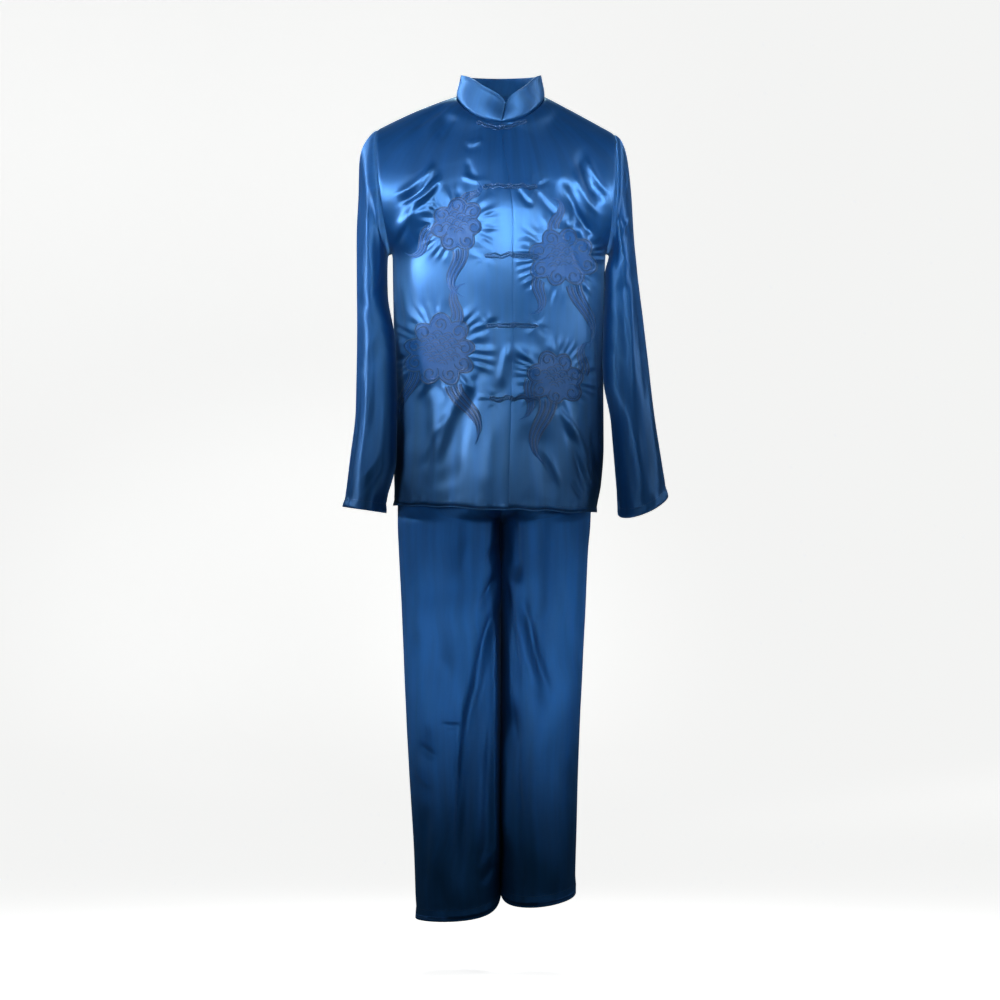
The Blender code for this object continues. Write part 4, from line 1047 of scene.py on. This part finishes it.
class SUIT_OT_back(bpy.types.Operator):
    """Make the back of the jacket, one piece from side to side"""

    bl_idname = "suit.back"
    bl_label = "Jacket back"

    def execute(self, context):
        halves = [jacket_surface(side, 1, *BACK_GRID) for side in SIDES]
        soften_middle(*halves)
        bm = bmesh.new()
        scratch = bpy.data.meshes.new("half")
        for half, side in zip(halves, SIDES):
            CLOTH_GRIDS["jacket_back_" + side] = half
            sheet = cloth_mesh(half, OUTWARD[side] > 0, on_body=True)
            sheet.to_mesh(scratch)
            sheet.free()
            bm.from_mesh(scratch)
        bpy.data.meshes.remove(scratch)
        bmesh.ops.remove_doubles(bm, verts=bm.verts, dist=1e-6)
        piece = keep_piece("jacket_back", bm, ("jacket_face", "jacket_reverse"), ["back"])
        finish_cloth(piece, context.scene.suit_sizes.cloth)
        return {"FINISHED"}


def sleeve_surface(side, columns, rows):
    """The finished outer surface of a sleeve, rows from the armhole down."""
    sizes = bpy.context.scene.suit_sizes
    steps = np.concatenate([[-1.0, -0.9, -0.8], np.linspace(-0.7, 9.0, rows - 2)])
    angle, step = np.meshgrid(np.linspace(0.0, 2 * math.pi, columns + 1), steps)
    grid = sleeve_tube(side, angle, step)
    grid = soften_rows(grid, ease((step + 0.75) / 0.5) * (1 - ease((step - 1.5) / 1.5)))
    rest = SLEEVE_REST[side]
    resting = ease((rest.begin - grid[..., 2]) / rest.fade_in)
    resting = resting * (1 - ease((rest.end - grid[..., 2]) / rest.fade_out)) * ease(np.cos(angle))
    grid[..., 0] -= OUTWARD[side] * rest.inwards * resting
    grid[..., 1] -= SLEEVE_REST_FORWARD * resting
    out = normals_of(grid, -OUTWARD[side])
    out[:, 0] = out[:, -1] = unit(out[:, 0] + out[:, -1])

    z = grid[..., 2]
    around = angle * SLEEVE_MEAN_RADIUS
    from_top = edge_distance(grid, 0, False)
    rise = edge_distance(grid, 0, True)
    seed = 40.0 + 5.0 * OUTWARD[side]
    height = FINE_SLEEVE_SHARE * crease_height(FINE_SLEEVE[side], around, z)
    for wave in SLEEVE_WAVES:
        height = height + wave.height * noise_at(np.cos(angle) * wave.across, np.sin(angle) * wave.across,
                                                 z * wave.up + seed)
    height = height * sizes.creases * ease(from_top / SLEEVE_TOP_CLEAR)
    height = height + hem_height(rise, around + 0.7 * OUTWARD[side], sizes.cuff, seed + 5)
    height = height + ripple(SLEEVE_HEAD_WAVE, around, z, seed + 9) * bell((from_top - 0.012) / 0.012)
    height = height + seam_height(from_top) + 0.6 * seam_height(np.minimum(around, around.max() - around))
    grid = grid + out * height[..., None]
    grid[..., 0] -= OUTWARD[side] * 1.5 * SEAM_TUCK * (1 - ease(from_top / 0.004))
    return grid


class SUIT_OT_sleeves(bpy.types.Operator):
    """Make the two set-in sleeves"""

    bl_idname = "suit.sleeves"
    bl_label = "Sleeves"

    def execute(self, context):
        for side in SIDES:
            grid = sleeve_surface(side, *SLEEVE_GRID)
            grid[:, -1] = grid[:, 0]
            sew_cloth("jacket_sleeve_" + side, grid, -OUTWARD[side], ("sleeve_face", "jacket_reverse"),
                      ["sleeve_" + side], context.scene.suit_sizes.cloth, closed=True)
        return {"FINISHED"}


def collar_surface(columns, rows):
    """The stand collar's outer surface, from its right end round the back to its left end."""
    s, share = np.meshgrid(spread(columns), spread(rows))
    angle = np.maximum(np.pi - np.pi * np.abs(1 - 2 * s), 0.5 * SEAM_GAP / NECK_HALF_WIDTH)
    base = np.where((s < 0.5)[..., None], neck_ring(angle, "right"), neck_ring(angle, "left"))
    out = np.where(s < 0.5, -1.0, 1.0)
    top_z = column(COLLAR, "angle", "top_z", np.degrees(angle))
    lean = COLLAR_LEAN_IN * ease(share)
    shift = COLLAR_END_SHIFT * share * np.cos(angle / 2) ** 8
    x = base[..., 0] - out * lean * np.sin(angle) + shift
    y = base[..., 1] + lean * np.cos(angle)
    z = base[..., 2] + SEAM_GAP + (top_z - base[..., 2] - SEAM_GAP) * share
    tuck = SEAM_TUCK * (1 - ease(share / 0.08))
    grid = points(x + out * tuck * -np.sin(angle), y + tuck * np.cos(angle), z - tuck)
    rise, to_top, run, to_end = edges_of(grid)
    height = ripple(COLLAR_WAVE, run, rise, 71.0) * ease(rise / 0.01) + seam_height(rise)
    height = height - 0.0007 * bell((to_top - COLLAR_STITCH) / 0.0012)
    height = height + 0.7 * (seam_height(to_top) + seam_height(np.minimum(run, to_end)))
    return grid + normals_of(grid, -1.0) * height[..., None]


class SUIT_OT_collar(bpy.types.Operator):
    """Make the stiffened stand collar"""

    bl_idname = "suit.collar"
    bl_label = "Collar"

    def execute(self, context):
        grid = collar_surface(*COLLAR_GRID)
        sew_cloth("jacket_collar", grid, -1.0, ("jacket_face", "jacket_reverse"), ["collar"],
                  context.scene.suit_sizes.collar_cloth)
        return {"FINISHED"}


def trouser_surface(side, facing, columns, rows):
    """The finished outer surface of a trouser piece."""
    sizes = bpy.context.scene.suit_sizes
    hem = TROUSER_HEM[side]
    t, v = np.meshgrid(spread(columns), spread(rows))
    level = hem.z + (BAND_BOTTOM_Z - SEAM_GAP - hem.z) * v
    grid = trouser_panel(side, facing, t, level)
    x = grid[..., 0]
    z = grid[..., 2]
    rise, to_top, from_middle, to_side = edges_of(grid)
    seed = 90.0 + 5.0 * facing + 2.0 * OUTWARD[side]
    height = crease_height(FINE_TROUSER_FRONT if facing < 0 else FINE_TROUSER_BACK, x, z)
    height = height + ripples(TROUSER_WAVES, x, z, seed)
    height = (height + ripple(WAIST_GATHER, x, z, seed + 2) * ease((z + 0.60) / 0.14)) * sizes.creases
    height = height * ease(to_side / CREASE_CLEAR) * ease(from_middle / 0.015) * ease(to_top / 0.01)
    height = height * (HIDDEN_CALM + (1 - HIDDEN_CALM) * ease((HIDDEN_TO_Z - z) / 0.05))
    height = height + hem_height(rise, x + 0.5 * facing + OUTWARD[side], sizes.trouser_hem, seed + 5) * 0.7
    above_crotch = ease((z - CROTCH_Z - 0.01) / 0.04)
    height = height + seam_height(to_side) + seam_height(from_middle) * above_crotch
    grid = grid + normals_of(grid, OUTWARD[side] * -facing) * height[..., None]
    grid[..., 0] += (LEG_SPLIT_X - grid[:, :1, 0]) * (1 - ease(from_middle / 0.02))
    grid[..., 1] -= facing * SEAM_OVERLAP * np.maximum(seam_share(to_side), seam_share(from_middle))
    return grid


class SUIT_OT_trousers(bpy.types.Operator):
    """Make the trousers' fronts and backs"""

    bl_idname = "suit.trousers"
    bl_label = "Trousers"

    def execute(self, context):
        for side in SIDES:
            for facing, word in ((-1, "front"), (1, "back")):
                sew_cloth(f"trousers_{word}_{side}", trouser_surface(side, facing, *TROUSER_GRID),
                          OUTWARD[side] * -facing, ("trouser_face", "trouser_reverse"),
                          [f"trouser_{word}_{side}"], context.scene.suit_sizes.cloth)
        return {"FINISHED"}


class SUIT_OT_waistband(bpy.types.Operator):
    """Make the trousers' gathered elastic casing"""

    bl_idname = "suit.waistband"
    bl_label = "Waistband"

    def execute(self, context):
        columns, rows = BAND_GRID
        share, v = np.meshgrid(np.linspace(0.0, 2.0, columns + 1), np.linspace(0.0, 1.0, rows + 1))
        z = BAND_BOTTOM_Z + (BAND_TOP_Z - BAND_BOTTOM_Z) * v
        left = leg_ring("left", z, np.clip(share, 0.0, 1.0) * math.pi)
        right = leg_ring("right", z, np.clip(2.0 - share, 0.0, 1.0) * math.pi)
        grid = np.where((share <= 1.0)[..., None], left, right)
        on_middle = (share < 1e-6) | (share > 2.0 - 1e-6) | (np.abs(share - 1.0) < 1e-6)
        grid[on_middle, 0] = LEG_SPLIT_X
        grid[:, -1] = grid[:, 0]
        gather = 0.0011 * np.sin(share * 118) * np.sin(math.pi * v) ** 0.5
        channel = -0.0008 * (bell((v - 0.33) / 0.05) + bell((v - 0.67) / 0.05))
        grid = grid + push_out(grid, gather + channel)
        grid[:, -1] = grid[:, 0]
        sew_cloth("trousers_waistband", grid, 1.0, ("trouser_face", "trouser_reverse"),
                  ["waistband"], BAND_THICKNESS, closed=True)
        return {"FINISHED"}


def skin_of(*names):
    """A tree of the outer sides of pieces of cloth, to lay things on."""
    bm = bmesh.new()
    for name in names:
        bm.from_mesh(bpy.data.objects[name].data)
    tree = BVHTree.FromBMesh(bm)
    bm.free()
    return tree


def on_cloth(tree, x, z):
    """Where a level line from the front meets the cloth, and the way out of it there."""
    place, normal, _, _ = tree.ray_cast(Vector((x, -1.0, z)), Vector((0.0, 1.0, 0.0)))
    if place is None:
        place, normal, _, _ = tree.find_nearest(Vector((x, -0.12, z)))
    if normal.y > 0:
        normal = -normal
    return np.array(place), np.array(normal)


def map_faces(bm, verts, reach):
    """Give the faces between some vertices their UV map, and hand them back."""
    layer = bm.loops.layers.uv.verify()
    faces = {face for vertex in verts for face in vertex.link_faces}
    for face in faces:
        for loop in face.loops:
            loop[layer].uv = reach[loop.vert]
    return faces


def face_front(faces):
    """Turn over the faces that look backwards."""
    for face in faces:
        face.normal_update()
        if face.normal.y > 0:
            face.normal_flip()


def add_tube(bm, path, radii, ups, sides=8, closed=False):
    """A round cord along a path: a grid, wrapped round it."""
    path = np.asarray(path, float)
    count = len(path)
    ahead = np.roll(path, -1, axis=0) - np.roll(path, 1, axis=0)
    if not closed:
        ahead[0] = path[1] - path[0]
        ahead[-1] = path[-1] - path[-2]
    ahead = unit(ahead)
    beside = unit(np.cross(ahead, ups))
    above = np.cross(beside, ahead)
    turn = np.linspace(0.0, 2 * math.pi, sides + 1)
    rows = count + 1 if closed else count
    made = bmesh.ops.create_grid(bm, x_segments=sides, y_segments=rows - 1, size=0.5)["verts"]
    radii = np.broadcast_to(radii, (count,))
    run = run_along(path)
    reach = {}
    for k, vertex in enumerate(made):
        row, j = divmod(k, sides + 1)
        i = row % count
        vertex.co = path[i] + (beside[i] * math.cos(turn[j]) + above[i] * math.sin(turn[j])) * radii[i]
        reach[vertex] = (turn[j] * float(radii.max()), float(run[min(row, count - 1)]))
    map_faces(bm, made, reach)
    bmesh.ops.remove_doubles(bm, verts=made, dist=2e-6)


def frog_cord(bm, tree, frog, side, reach, radius, start):
    """The cord of one half of a frog: out along the cloth, round at its end and back beside itself."""
    gap = radius * 1.55
    end = reach - radius * 1.6
    out = np.linspace(start, end, CORD_STEPS)
    bend = np.linspace(-math.pi / 2, math.pi / 2, 9)[1:-1]
    along = np.concatenate([out, end + np.cos(bend) * gap * 1.1, out[::-1]])
    up = np.concatenate([np.full(CORD_STEPS, -gap), np.sin(bend) * gap, np.full(CORD_STEPS, gap)])
    path = []
    ups = []
    for distance, lift in zip(along, up):
        seed = OUTWARD[side] * 3
        wander = (ripple(CORD_WANDER[0], distance, frog.z, seed)
                  + ripple(CORD_WANDER[1], distance, frog.z, seed + (lift > 0) * 7))
        z = frog.z + frog.rise * (distance / reach) ** 2 + lift + wander
        place, normal = on_cloth(tree, opening_x(frog.z) + OUTWARD[side] * distance, z)
        path.append(place + normal * radius * 0.92)
        ups.append(normal)
    twist = 1 + 0.17 * np.sin(np.arange(len(path)) * 1.35)
    add_tube(bm, path, radius * twist, np.array(ups))


def knot_button(bm, centre, radius, cord):
    """A ball knot: one cord woven round a small sphere in three leads."""
    turn = np.linspace(0.0, 2 * math.pi, KNOT_STEPS + 1)[:-1]
    latitude = 0.95 * np.sin(turn * 5)
    longitude = turn * 2.0
    wave = 1.0 + 0.10 * np.cos(turn * 10)
    directions = points(np.cos(latitude) * np.cos(longitude), np.sin(latitude),
                        np.cos(latitude) * np.sin(longitude))
    path = centre + directions * (radius - cord) * wave[:, None]
    add_tube(bm, path, cord, directions, sides=6, closed=True)
    core = bmesh.ops.create_icosphere(bm, subdivisions=2, radius=radius - cord * 1.2)
    bmesh.ops.translate(bm, vec=Vector(centre), verts=core["verts"])


class SUIT_OT_frogs(bpy.types.Operator):
    """Make the five frogs: cord halves, loops and knot buttons"""

    bl_idname = "suit.frogs"
    bl_label = "Frogs"

    def execute(self, context):
        sizes = context.scene.suit_sizes
        tree = skin_of("jacket_front_right", "jacket_front_left")
        for number, frog in enumerate(FROGS, start=1):
            for side, reach in (("right", frog.right), ("left", frog.left)):
                bm = bmesh.new()
                start = sizes.knot_radius * (0.75 if side == "left" else 0.55)
                frog_cord(bm, tree, frog, side, reach, sizes.cord_radius, start)
                keep_piece(f"frog_{number}_cord_{side}", bm, ("cord",),
                           [f"frog_{number}_{side}"])
            middle = opening_x(frog.z)
            place, _ = on_cloth(tree, middle - 0.001, frog.z)
            bm = bmesh.new()
            knot_button(bm, np.array([middle, place[1] - sizes.knot_radius * 0.95, place[2]]),
                        sizes.knot_radius, KNOT_CORD)
            keep_piece(f"frog_{number}_button", bm, ("cord",), [f"frog_{number}_knot"])
        return {"FINISHED"}


def add_stroke(bm, tree, line, widths, height, thread=LIGHT_THREAD):
    """A raised stroke of satin stitch along a line on the front, thick in the middle and tucked in beside."""
    line = np.asarray(line, float)
    ahead = unit(np.gradient(line, axis=0))
    beside = np.stack([-ahead[:, 1], ahead[:, 0]], axis=1)
    across = (-1.0, -0.72, 0.0, 0.72, 1.0)
    lift = (-0.35, 0.62, 1.0, 0.62, -0.35)
    made = bmesh.ops.create_grid(bm, x_segments=len(across) - 1, y_segments=len(line) - 1, size=0.5)["verts"]
    run = run_along(line)
    reach = {}
    for k, vertex in enumerate(made):
        i, j = divmod(k, len(across))
        place, normal = on_cloth(tree, *(line[i] + beside[i] * across[j] * widths[i] / 2))
        vertex.co = place + normal * height * lift[j]
        reach[vertex] = (across[j] * widths[i] / 2, run[i])
    faces = map_faces(bm, made, reach)
    for face in faces:
        face.material_index = thread
    face_front(faces)


def arc_line(x, z, radius, first, last, count, shrink=1.0):
    """Points on an arc or, where it shrinks, on a scroll."""
    angle = np.radians(np.linspace(first, last, count))
    size = radius * np.linspace(1.0, shrink, count)
    return np.stack([x + size * np.cos(angle), z + size * np.sin(angle)], axis=1)


def tapered(count, width, start=0.5, end=0.35):
    """Widths of a stroke that is widest in its middle."""
    t = np.linspace(0.0, 1.0, count)
    return width * np.minimum(1.0, np.minimum(start + t * 6, end + (1 - t) * 5))


def bank_rim(bank, angle):
    """How far a cloud bank's lobed rim is from its middle, as a share of its radius."""
    wander = 0.08 * np.sin(angle * 2 + bank.z * 60) + 0.05 * np.sin(angle * 3 + bank.x * 90)
    return 1.0 + LOBE_DEPTH * (np.abs(np.sin(bank.lobes * angle / 2)) - LOBE_MEAN) + wander


def bank_place(bank, angle, share):
    """Places in a cloud bank, by the angle round it and the share of the way to its rim."""
    rim = share * bank_rim(bank, angle)
    a, b = turned(rim * bank.radius_x * np.cos(angle), rim * bank.radius_z * np.sin(angle), bank.turn)
    return np.stack([bank.x + a, bank.z + b], axis=-1)


def stitch_ground(bm, tree, bank, height):
    """The flat stitched ground of a cloud bank: a lobed disc laid on the cloth, its rim tucked in."""
    spokes, rings = GROUND_GRID
    made = bmesh.ops.create_grid(bm, x_segments=spokes, y_segments=rings, size=0.5)["verts"]
    reach = {}
    for k, vertex in enumerate(made):
        i, j = divmod(k, spokes + 1)
        spot = bank_place(bank, 2 * math.pi * (j % spokes) / spokes, max(i, 0.001) / rings)
        place, normal = on_cloth(tree, *spot)
        vertex.co = place + normal * (height * 0.35 if i < rings else -height * 0.3)
        reach[vertex] = tuple(spot)
    map_faces(bm, made, reach)
    bmesh.ops.remove_doubles(bm, verts=made, dist=2e-5)
    face_front(bm.faces)


def outline_bank(bm, tree, bank, height):
    """The rim of a cloud bank in dark and light stitches, with a scroll in each lobe."""
    angle = np.linspace(0.0, 2 * math.pi, LOBE_STEPS * bank.lobes + 1)
    for share, width, lift, thread in ((1.0, 0.0030, 1.0, DARK_THREAD), (0.90, 0.0022, 1.1, LIGHT_THREAD)):
        widths = np.full(len(angle), width)
        add_stroke(bm, tree, bank_place(bank, angle, share), widths, height * lift, thread)
    size = math.pi * (bank.radius_x + bank.radius_z) / bank.lobes
    for k in range(bank.lobes):
        middle = 2 * math.pi * (k + 0.5) / bank.lobes
        centre = bank_place(bank, middle, 0.70)
        outwards = bank_place(bank, middle, 1.0) - centre
        facing = math.degrees(math.atan2(outwards[1], outwards[0]))
        curl = 1 if k % 3 else -1
        radius = size * (0.34 + 0.05 * math.sin(k * 2.4))
        for share, first, last, count, shrink, width, lift, thread in (
                (1.0, 150, 330, 34, 0.18, 0.0026, 1.2, DARK_THREAD),
                (0.78, 120, 250, 26, 0.22, 0.0020, 1.3, LIGHT_THREAD)):
            line = arc_line(*centre, radius * share, facing - curl * first, facing + curl * last, count,
                            shrink)
            add_stroke(bm, tree, line, tapered(count, width), height * lift, thread)


def fill_waves(bm, tree, bank, height):
    """Rows of overlapping waves, each of two arcs, in the middle of a cloud bank."""
    rows = int(bank.radius_z / (WAVE_RADIUS * 0.6)) + 1
    columns = int(bank.radius_x / WAVE_RADIUS) + 1
    for i in range(-rows, rows + 1):
        for j in range(-columns, columns + 1):
            a = (j + 0.5 * (i % 2)) * WAVE_RADIUS * 1.9
            b = i * WAVE_RADIUS * 0.80
            if math.hypot(a / bank.radius_x, b / bank.radius_z) > BANK_FILL:
                continue
            x, z = turned(a, b, bank.turn)
            for ring, width in ((0.95, 0.0017), (0.50, 0.0015)):
                line = arc_line(bank.x + x, bank.z + z, WAVE_RADIUS * ring, bank.turn + 20,
                                bank.turn + 160, 9)
                add_stroke(bm, tree, line, tapered(len(line), width, 0.6, 0.6), height * 1.2, DARK_THREAD)


def trail(bm, tree, start, row, height):
    """Streamers that leave a cloud bank side by side, sway and draw together at their end."""
    t = np.linspace(0.0, 1.0, TRAIL_STEPS)
    heading = np.radians(row.direction + row.turn * np.sin(t * math.pi * 1.4))
    ahead = np.stack([np.cos(heading), np.sin(heading)], axis=1)
    middle = np.array(start) + np.cumsum(ahead, axis=0) * row.length / len(t)
    beside = np.stack([-ahead[:, 1], ahead[:, 0]], axis=1)
    for lane in range(-3, 4):
        dark = lane % 2
        last = len(t) - 4 * abs(lane) - 3 * dark
        line = (middle + beside * (lane * row.width / 6 * (1 - 0.75 * t))[:, None])[:last]
        add_stroke(bm, tree, line, tapered(last, row.width / (7.5 if dark else 5.5), 0.7, 0.12),
                   height * (0.7 if dark else 1.0), DARK_THREAD if dark else LIGHT_THREAD)


class SUIT_OT_embroidery(bpy.types.Operator):
    """Embroider cloud banks, waves and streamers on the two fronts"""

    bl_idname = "suit.embroidery"
    bl_label = "Embroidery"

    def execute(self, context):
        height = context.scene.suit_sizes.satin_stitch
        for side in SIDES:
            tree = skin_of("jacket_front_" + side)
            bm = bmesh.new()
            for number, bank in enumerate(CLOUD_BANKS):
                if bank.side != side:
                    continue
                stitch_ground(bm, tree, bank, height)
                fill_waves(bm, tree, bank, height)
                outline_bank(bm, tree, bank, height)
                for row in TRAILS:
                    if row.bank == number:
                        trail(bm, tree, bank_place(bank, math.radians(row.at), 0.98), row, height)
            keep_piece("embroidery_" + side, bm, ("embroidery", "embroidery_line"))
        return {"FINISHED"}


def stitch_line(bm, line, out, size, radius):
    """A row of sewn stitches along a line of points, each one dipping into the cloth at its ends."""
    run = run_along(line)
    pitch = size * 1.25
    for start in np.arange(pitch * 0.3, run[-1] - size, pitch):
        at = start + np.linspace(0.0, size, 4)
        place = np.stack([np.interp(at, run, line[:, k]) for k in range(3)], axis=1)
        away = np.stack([np.interp(at, run, out[:, k]) for k in range(3)], axis=1)
        lift = np.array([-0.6, 0.75, 0.75, -0.6]) * radius
        add_tube(bm, place + away * lift[:, None], radius, away, sides=4)


def line_at(name, rise, from_top=False):
    """The line on a piece of cloth at a height over its lower (or under its upper) edge."""
    grid = CLOTH_GRIDS[name]
    out = normals_of(grid, 1.0)
    middle = grid.mean(axis=(0, 1))
    if np.sum(out * (grid - middle)) < 0:
        out = -out
    distance = edge_distance(grid, 0, from_top)
    order = slice(None, None, -1) if from_top else slice(None)
    line, away = [np.array([[np.interp(rise, distance[order, j], values[order, j, k]) for k in range(3)]
                            for j in range(grid.shape[1])]) for values in (grid, out)]
    return line, away


class SUIT_OT_stitching(bpy.types.Operator):
    """Sew the hems, cuffs and collar edge"""

    bl_idname = "suit.stitching"
    bl_label = "Stitching"

    def execute(self, context):
        sizes = context.scene.suit_sizes
        rows = {
            "jacket_hem_stitches": [(f"jacket_{word}", sizes.jacket_hem, False)
                                    for word in ("front_right", "front_left", "back_right", "back_left")],
            "cuff_stitches": [(f"jacket_sleeve_{side}", sizes.cuff, True) for side in SIDES],
            "trouser_hem_stitches": [(f"trousers_{word}_{side}", sizes.trouser_hem, False)
                                     for word in ("front", "back") for side in SIDES],
            "collar_stitches": [("jacket_collar", COLLAR_STITCH, True)],
        }
        for name, lines in rows.items():
            bm = bmesh.new()
            for piece, rise, from_top in lines:
                line, out = line_at(piece, rise, from_top)
                stitch_line(bm, line, out, sizes.stitch, sizes.stitch_radius)
            keep_piece(name, bm, ("sewing_thread",))
        return {"FINISHED"}


# Studio: the camera stands level, straight in front of the suit
CAMERA_DISTANCE = 8.0
CAMERA_Z = -0.7000
VIEW_WIDTH = 1.7500
SENSOR = 36.0
FLOOR_Z = -1.5200
STUDIO_RADIUS = 9.5
STUDIO_CURVE = 2.5
STUDIO_WALL = 5.0
STUDIO_STEPS = 96
CURVE_STEPS = 12
WORLD_COLOUR = (1.0, 0.95, 0.62)
WORLD_STRENGTH = 0.100

Lamp = namedtuple("Lamp", "name x y z aim_x aim_z width height spread power")
LAMPS = (
    Lamp("key_softbox", -2.825, -1.502, 0.80, 0.0, 0.37, 0.9, 0.5, 50.0, 0.9),
    Lamp("fill_softbox", 1.696, -2.714, 0.36, 0.0, 0.05, 0.9, 0.4, 50.0, 1.0),
    Lamp("front_softbox", 0.0, -3.2, 0.80, 0.0, 0.37, 0.9, 0.5, 50.0, 0.3),
    Lamp("low_softbox_right", -1.696, -2.714, -0.70, 0.0, -0.70, 0.9, 0.9, 50.0, 0.6),
    Lamp("low_softbox_left", 2.825, -1.502, -0.90, 0.0, -0.84, 0.9, 0.5, 50.0, 0.5),
    Lamp("chest_softbox", 0.34, -3.1, 0.19, 0.10, -0.21, 1.0, 0.32, 11.0, 2.0),
    Lamp("sleeve_softbox", -1.7, -2.5, 0.24, -0.36, -0.22, 1.8, 0.80, 9.0, 2.8),
    Lamp("outer_softbox_right", -3.0, 0.10, 0.10, -0.34, -0.24, 0.9, 0.7, 14.0, 4.6),
    Lamp("outer_softbox_left", 3.0, 0.10, 0.10, 0.34, -0.24, 0.9, 0.7, 14.0, 1.3),
    Lamp("leg_softbox", 0.3, -2.6, -1.42, 0.0, -0.98, 2.4, 0.3, 11.0, 0.8),
    Lamp("leg_softbox_right", -2.7, -1.6, -1.40, -0.1, -0.98, 1.0, 0.4, 11.0, 0.5),
    Lamp("leg_softbox_left", 2.7, -1.6, -1.40, 0.05, -0.98, 1.0, 0.4, 11.0, 0.5),
    Lamp("side_softbox_right", -2.8, 0.6, 1.20, 0.0, -0.45, 0.9, 0.9, 60.0, 3.5),
    Lamp("side_softbox_left", 2.8, 0.6, 1.20, 0.0, -0.45, 0.9, 0.9, 60.0, 3.5),
    Lamp("back_softbox", 0.0, 2.8, 1.50, 0.0, -0.50, 1.4, 0.9, 60.0, 9.0),
)


def studio_bowl():
    """A round floor that curves up into a wall all round, spun from its profile."""
    bm = bmesh.new()
    level = STUDIO_RADIUS - STUDIO_CURVE
    profile = [bm.verts.new((0.0, 0.0, FLOOR_Z)), bm.verts.new((level, 0.0, FLOOR_Z))]
    for angle in (math.pi / 2 * k / CURVE_STEPS for k in range(1, CURVE_STEPS + 1)):
        profile.append(bm.verts.new((level + STUDIO_CURVE * math.sin(angle), 0.0,
                                     FLOOR_Z + STUDIO_CURVE * (1 - math.cos(angle)))))
    profile.append(bm.verts.new((STUDIO_RADIUS, 0.0, FLOOR_Z + STUDIO_CURVE + STUDIO_WALL)))
    edges = [bm.edges.new(pair) for pair in zip(profile, profile[1:])]
    bmesh.ops.spin(bm, geom=profile + edges, cent=(0.0, 0.0, 0.0), axis=(0.0, 0.0, 1.0), dvec=(0.0, 0.0, 0.0),
                   angle=2 * math.pi, steps=STUDIO_STEPS, use_merge=True, use_duplicate=False)
    bmesh.ops.remove_doubles(bm, verts=bm.verts, dist=1e-5)
    bmesh.ops.recalc_face_normals(bm, faces=bm.faces)
    mesh = bpy.data.meshes.new("studio_floor")
    bm.to_mesh(mesh)
    bm.free()
    mesh.shade_smooth()
    mesh.materials.append(finish_material("studio"))
    floor = bpy.data.objects.new("studio_floor", mesh)
    floor.visible_diffuse = False
    floor.visible_glossy = False
    return floor


def studio_world():
    """A dim, even light from all round."""
    world = bpy.data.worlds.new("studio_world")
    world.use_nodes = True
    background = world.node_tree.nodes["Background"]
    background.inputs["Color"].default_value = (*WORLD_COLOUR, 1.0)
    background.inputs["Strength"].default_value = WORLD_STRENGTH
    bpy.context.scene.world = world


class SUIT_OT_studio(bpy.types.Operator):
    """Set up the floor, the lights and the camera"""

    bl_idname = "suit.studio"
    bl_label = "Studio"

    def execute(self, context):
        scene = context.scene
        floor = studio_bowl()
        scene.collection.objects.link(floor)
        studio_world()
        for lamp in LAMPS:
            light = bpy.data.lights.new(lamp.name, "AREA")
            light.shape = "RECTANGLE"
            light.size = lamp.width
            light.size_y = lamp.height
            light.spread = math.radians(lamp.spread)
            light.energy = lamp.power
            thing = bpy.data.objects.new(lamp.name, light)
            thing.location = (lamp.x, lamp.y, lamp.z)
            aim = Vector((lamp.aim_x, 0.0, lamp.aim_z)) - thing.location
            thing.rotation_euler = aim.to_track_quat("-Z", "Y").to_euler()
            thing.visible_camera = False
            scene.collection.objects.link(thing)
        camera = bpy.data.cameras.new("camera")
        camera.sensor_width = SENSOR
        camera.lens = SENSOR * CAMERA_DISTANCE / VIEW_WIDTH
        camera.clip_end = 50.0
        eye = bpy.data.objects.new("camera", camera)
        eye.location = (0.0, -CAMERA_DISTANCE, CAMERA_Z)
        eye.rotation_euler = (math.pi / 2, 0.0, 0.0)
        scene.collection.objects.link(eye)
        scene.camera = eye
        scene.view_settings.view_transform = "Standard"
        return {"FINISHED"}


STEPS = (SUIT_OT_fronts, SUIT_OT_back, SUIT_OT_sleeves, SUIT_OT_collar, SUIT_OT_trousers, SUIT_OT_waistband,
         SUIT_OT_frogs, SUIT_OT_embroidery, SUIT_OT_stitching, SUIT_OT_studio)


class SUIT_PT_panel(bpy.types.Panel):
    """The suit's sizes, colours and steps"""

    bl_idname = "SUIT_PT_panel"
    bl_label = "Satin Suit"
    bl_space_type = "VIEW_3D"
    bl_region_type = "UI"
    bl_category = "Suit"

    def draw(self, context):
        for group in (context.scene.suit_sizes, context.scene.suit_colours):
            for name in group.__annotations__:
                self.layout.prop(group, name)
        for step in STEPS:
            self.layout.operator(step.bl_idname)


CLASSES = (SuitSizes, SuitColours, *STEPS, SUIT_PT_panel)


def register():
    for item in CLASSES:
        bpy.utils.register_class(item)
    bpy.types.Scene.suit_sizes = bpy.props.PointerProperty(type=SuitSizes)
    bpy.types.Scene.suit_colours = bpy.props.PointerProperty(type=SuitColours)


def unregister():
    del bpy.types.Scene.suit_colours
    del bpy.types.Scene.suit_sizes
    for item in reversed(CLASSES):
        bpy.utils.unregister_class(item)


def main():
    register()
    for step in STEPS:
        group, name = step.bl_idname.split(".")
        getattr(getattr(bpy.ops, group), name)()


if __name__ == "__main__":
    main()
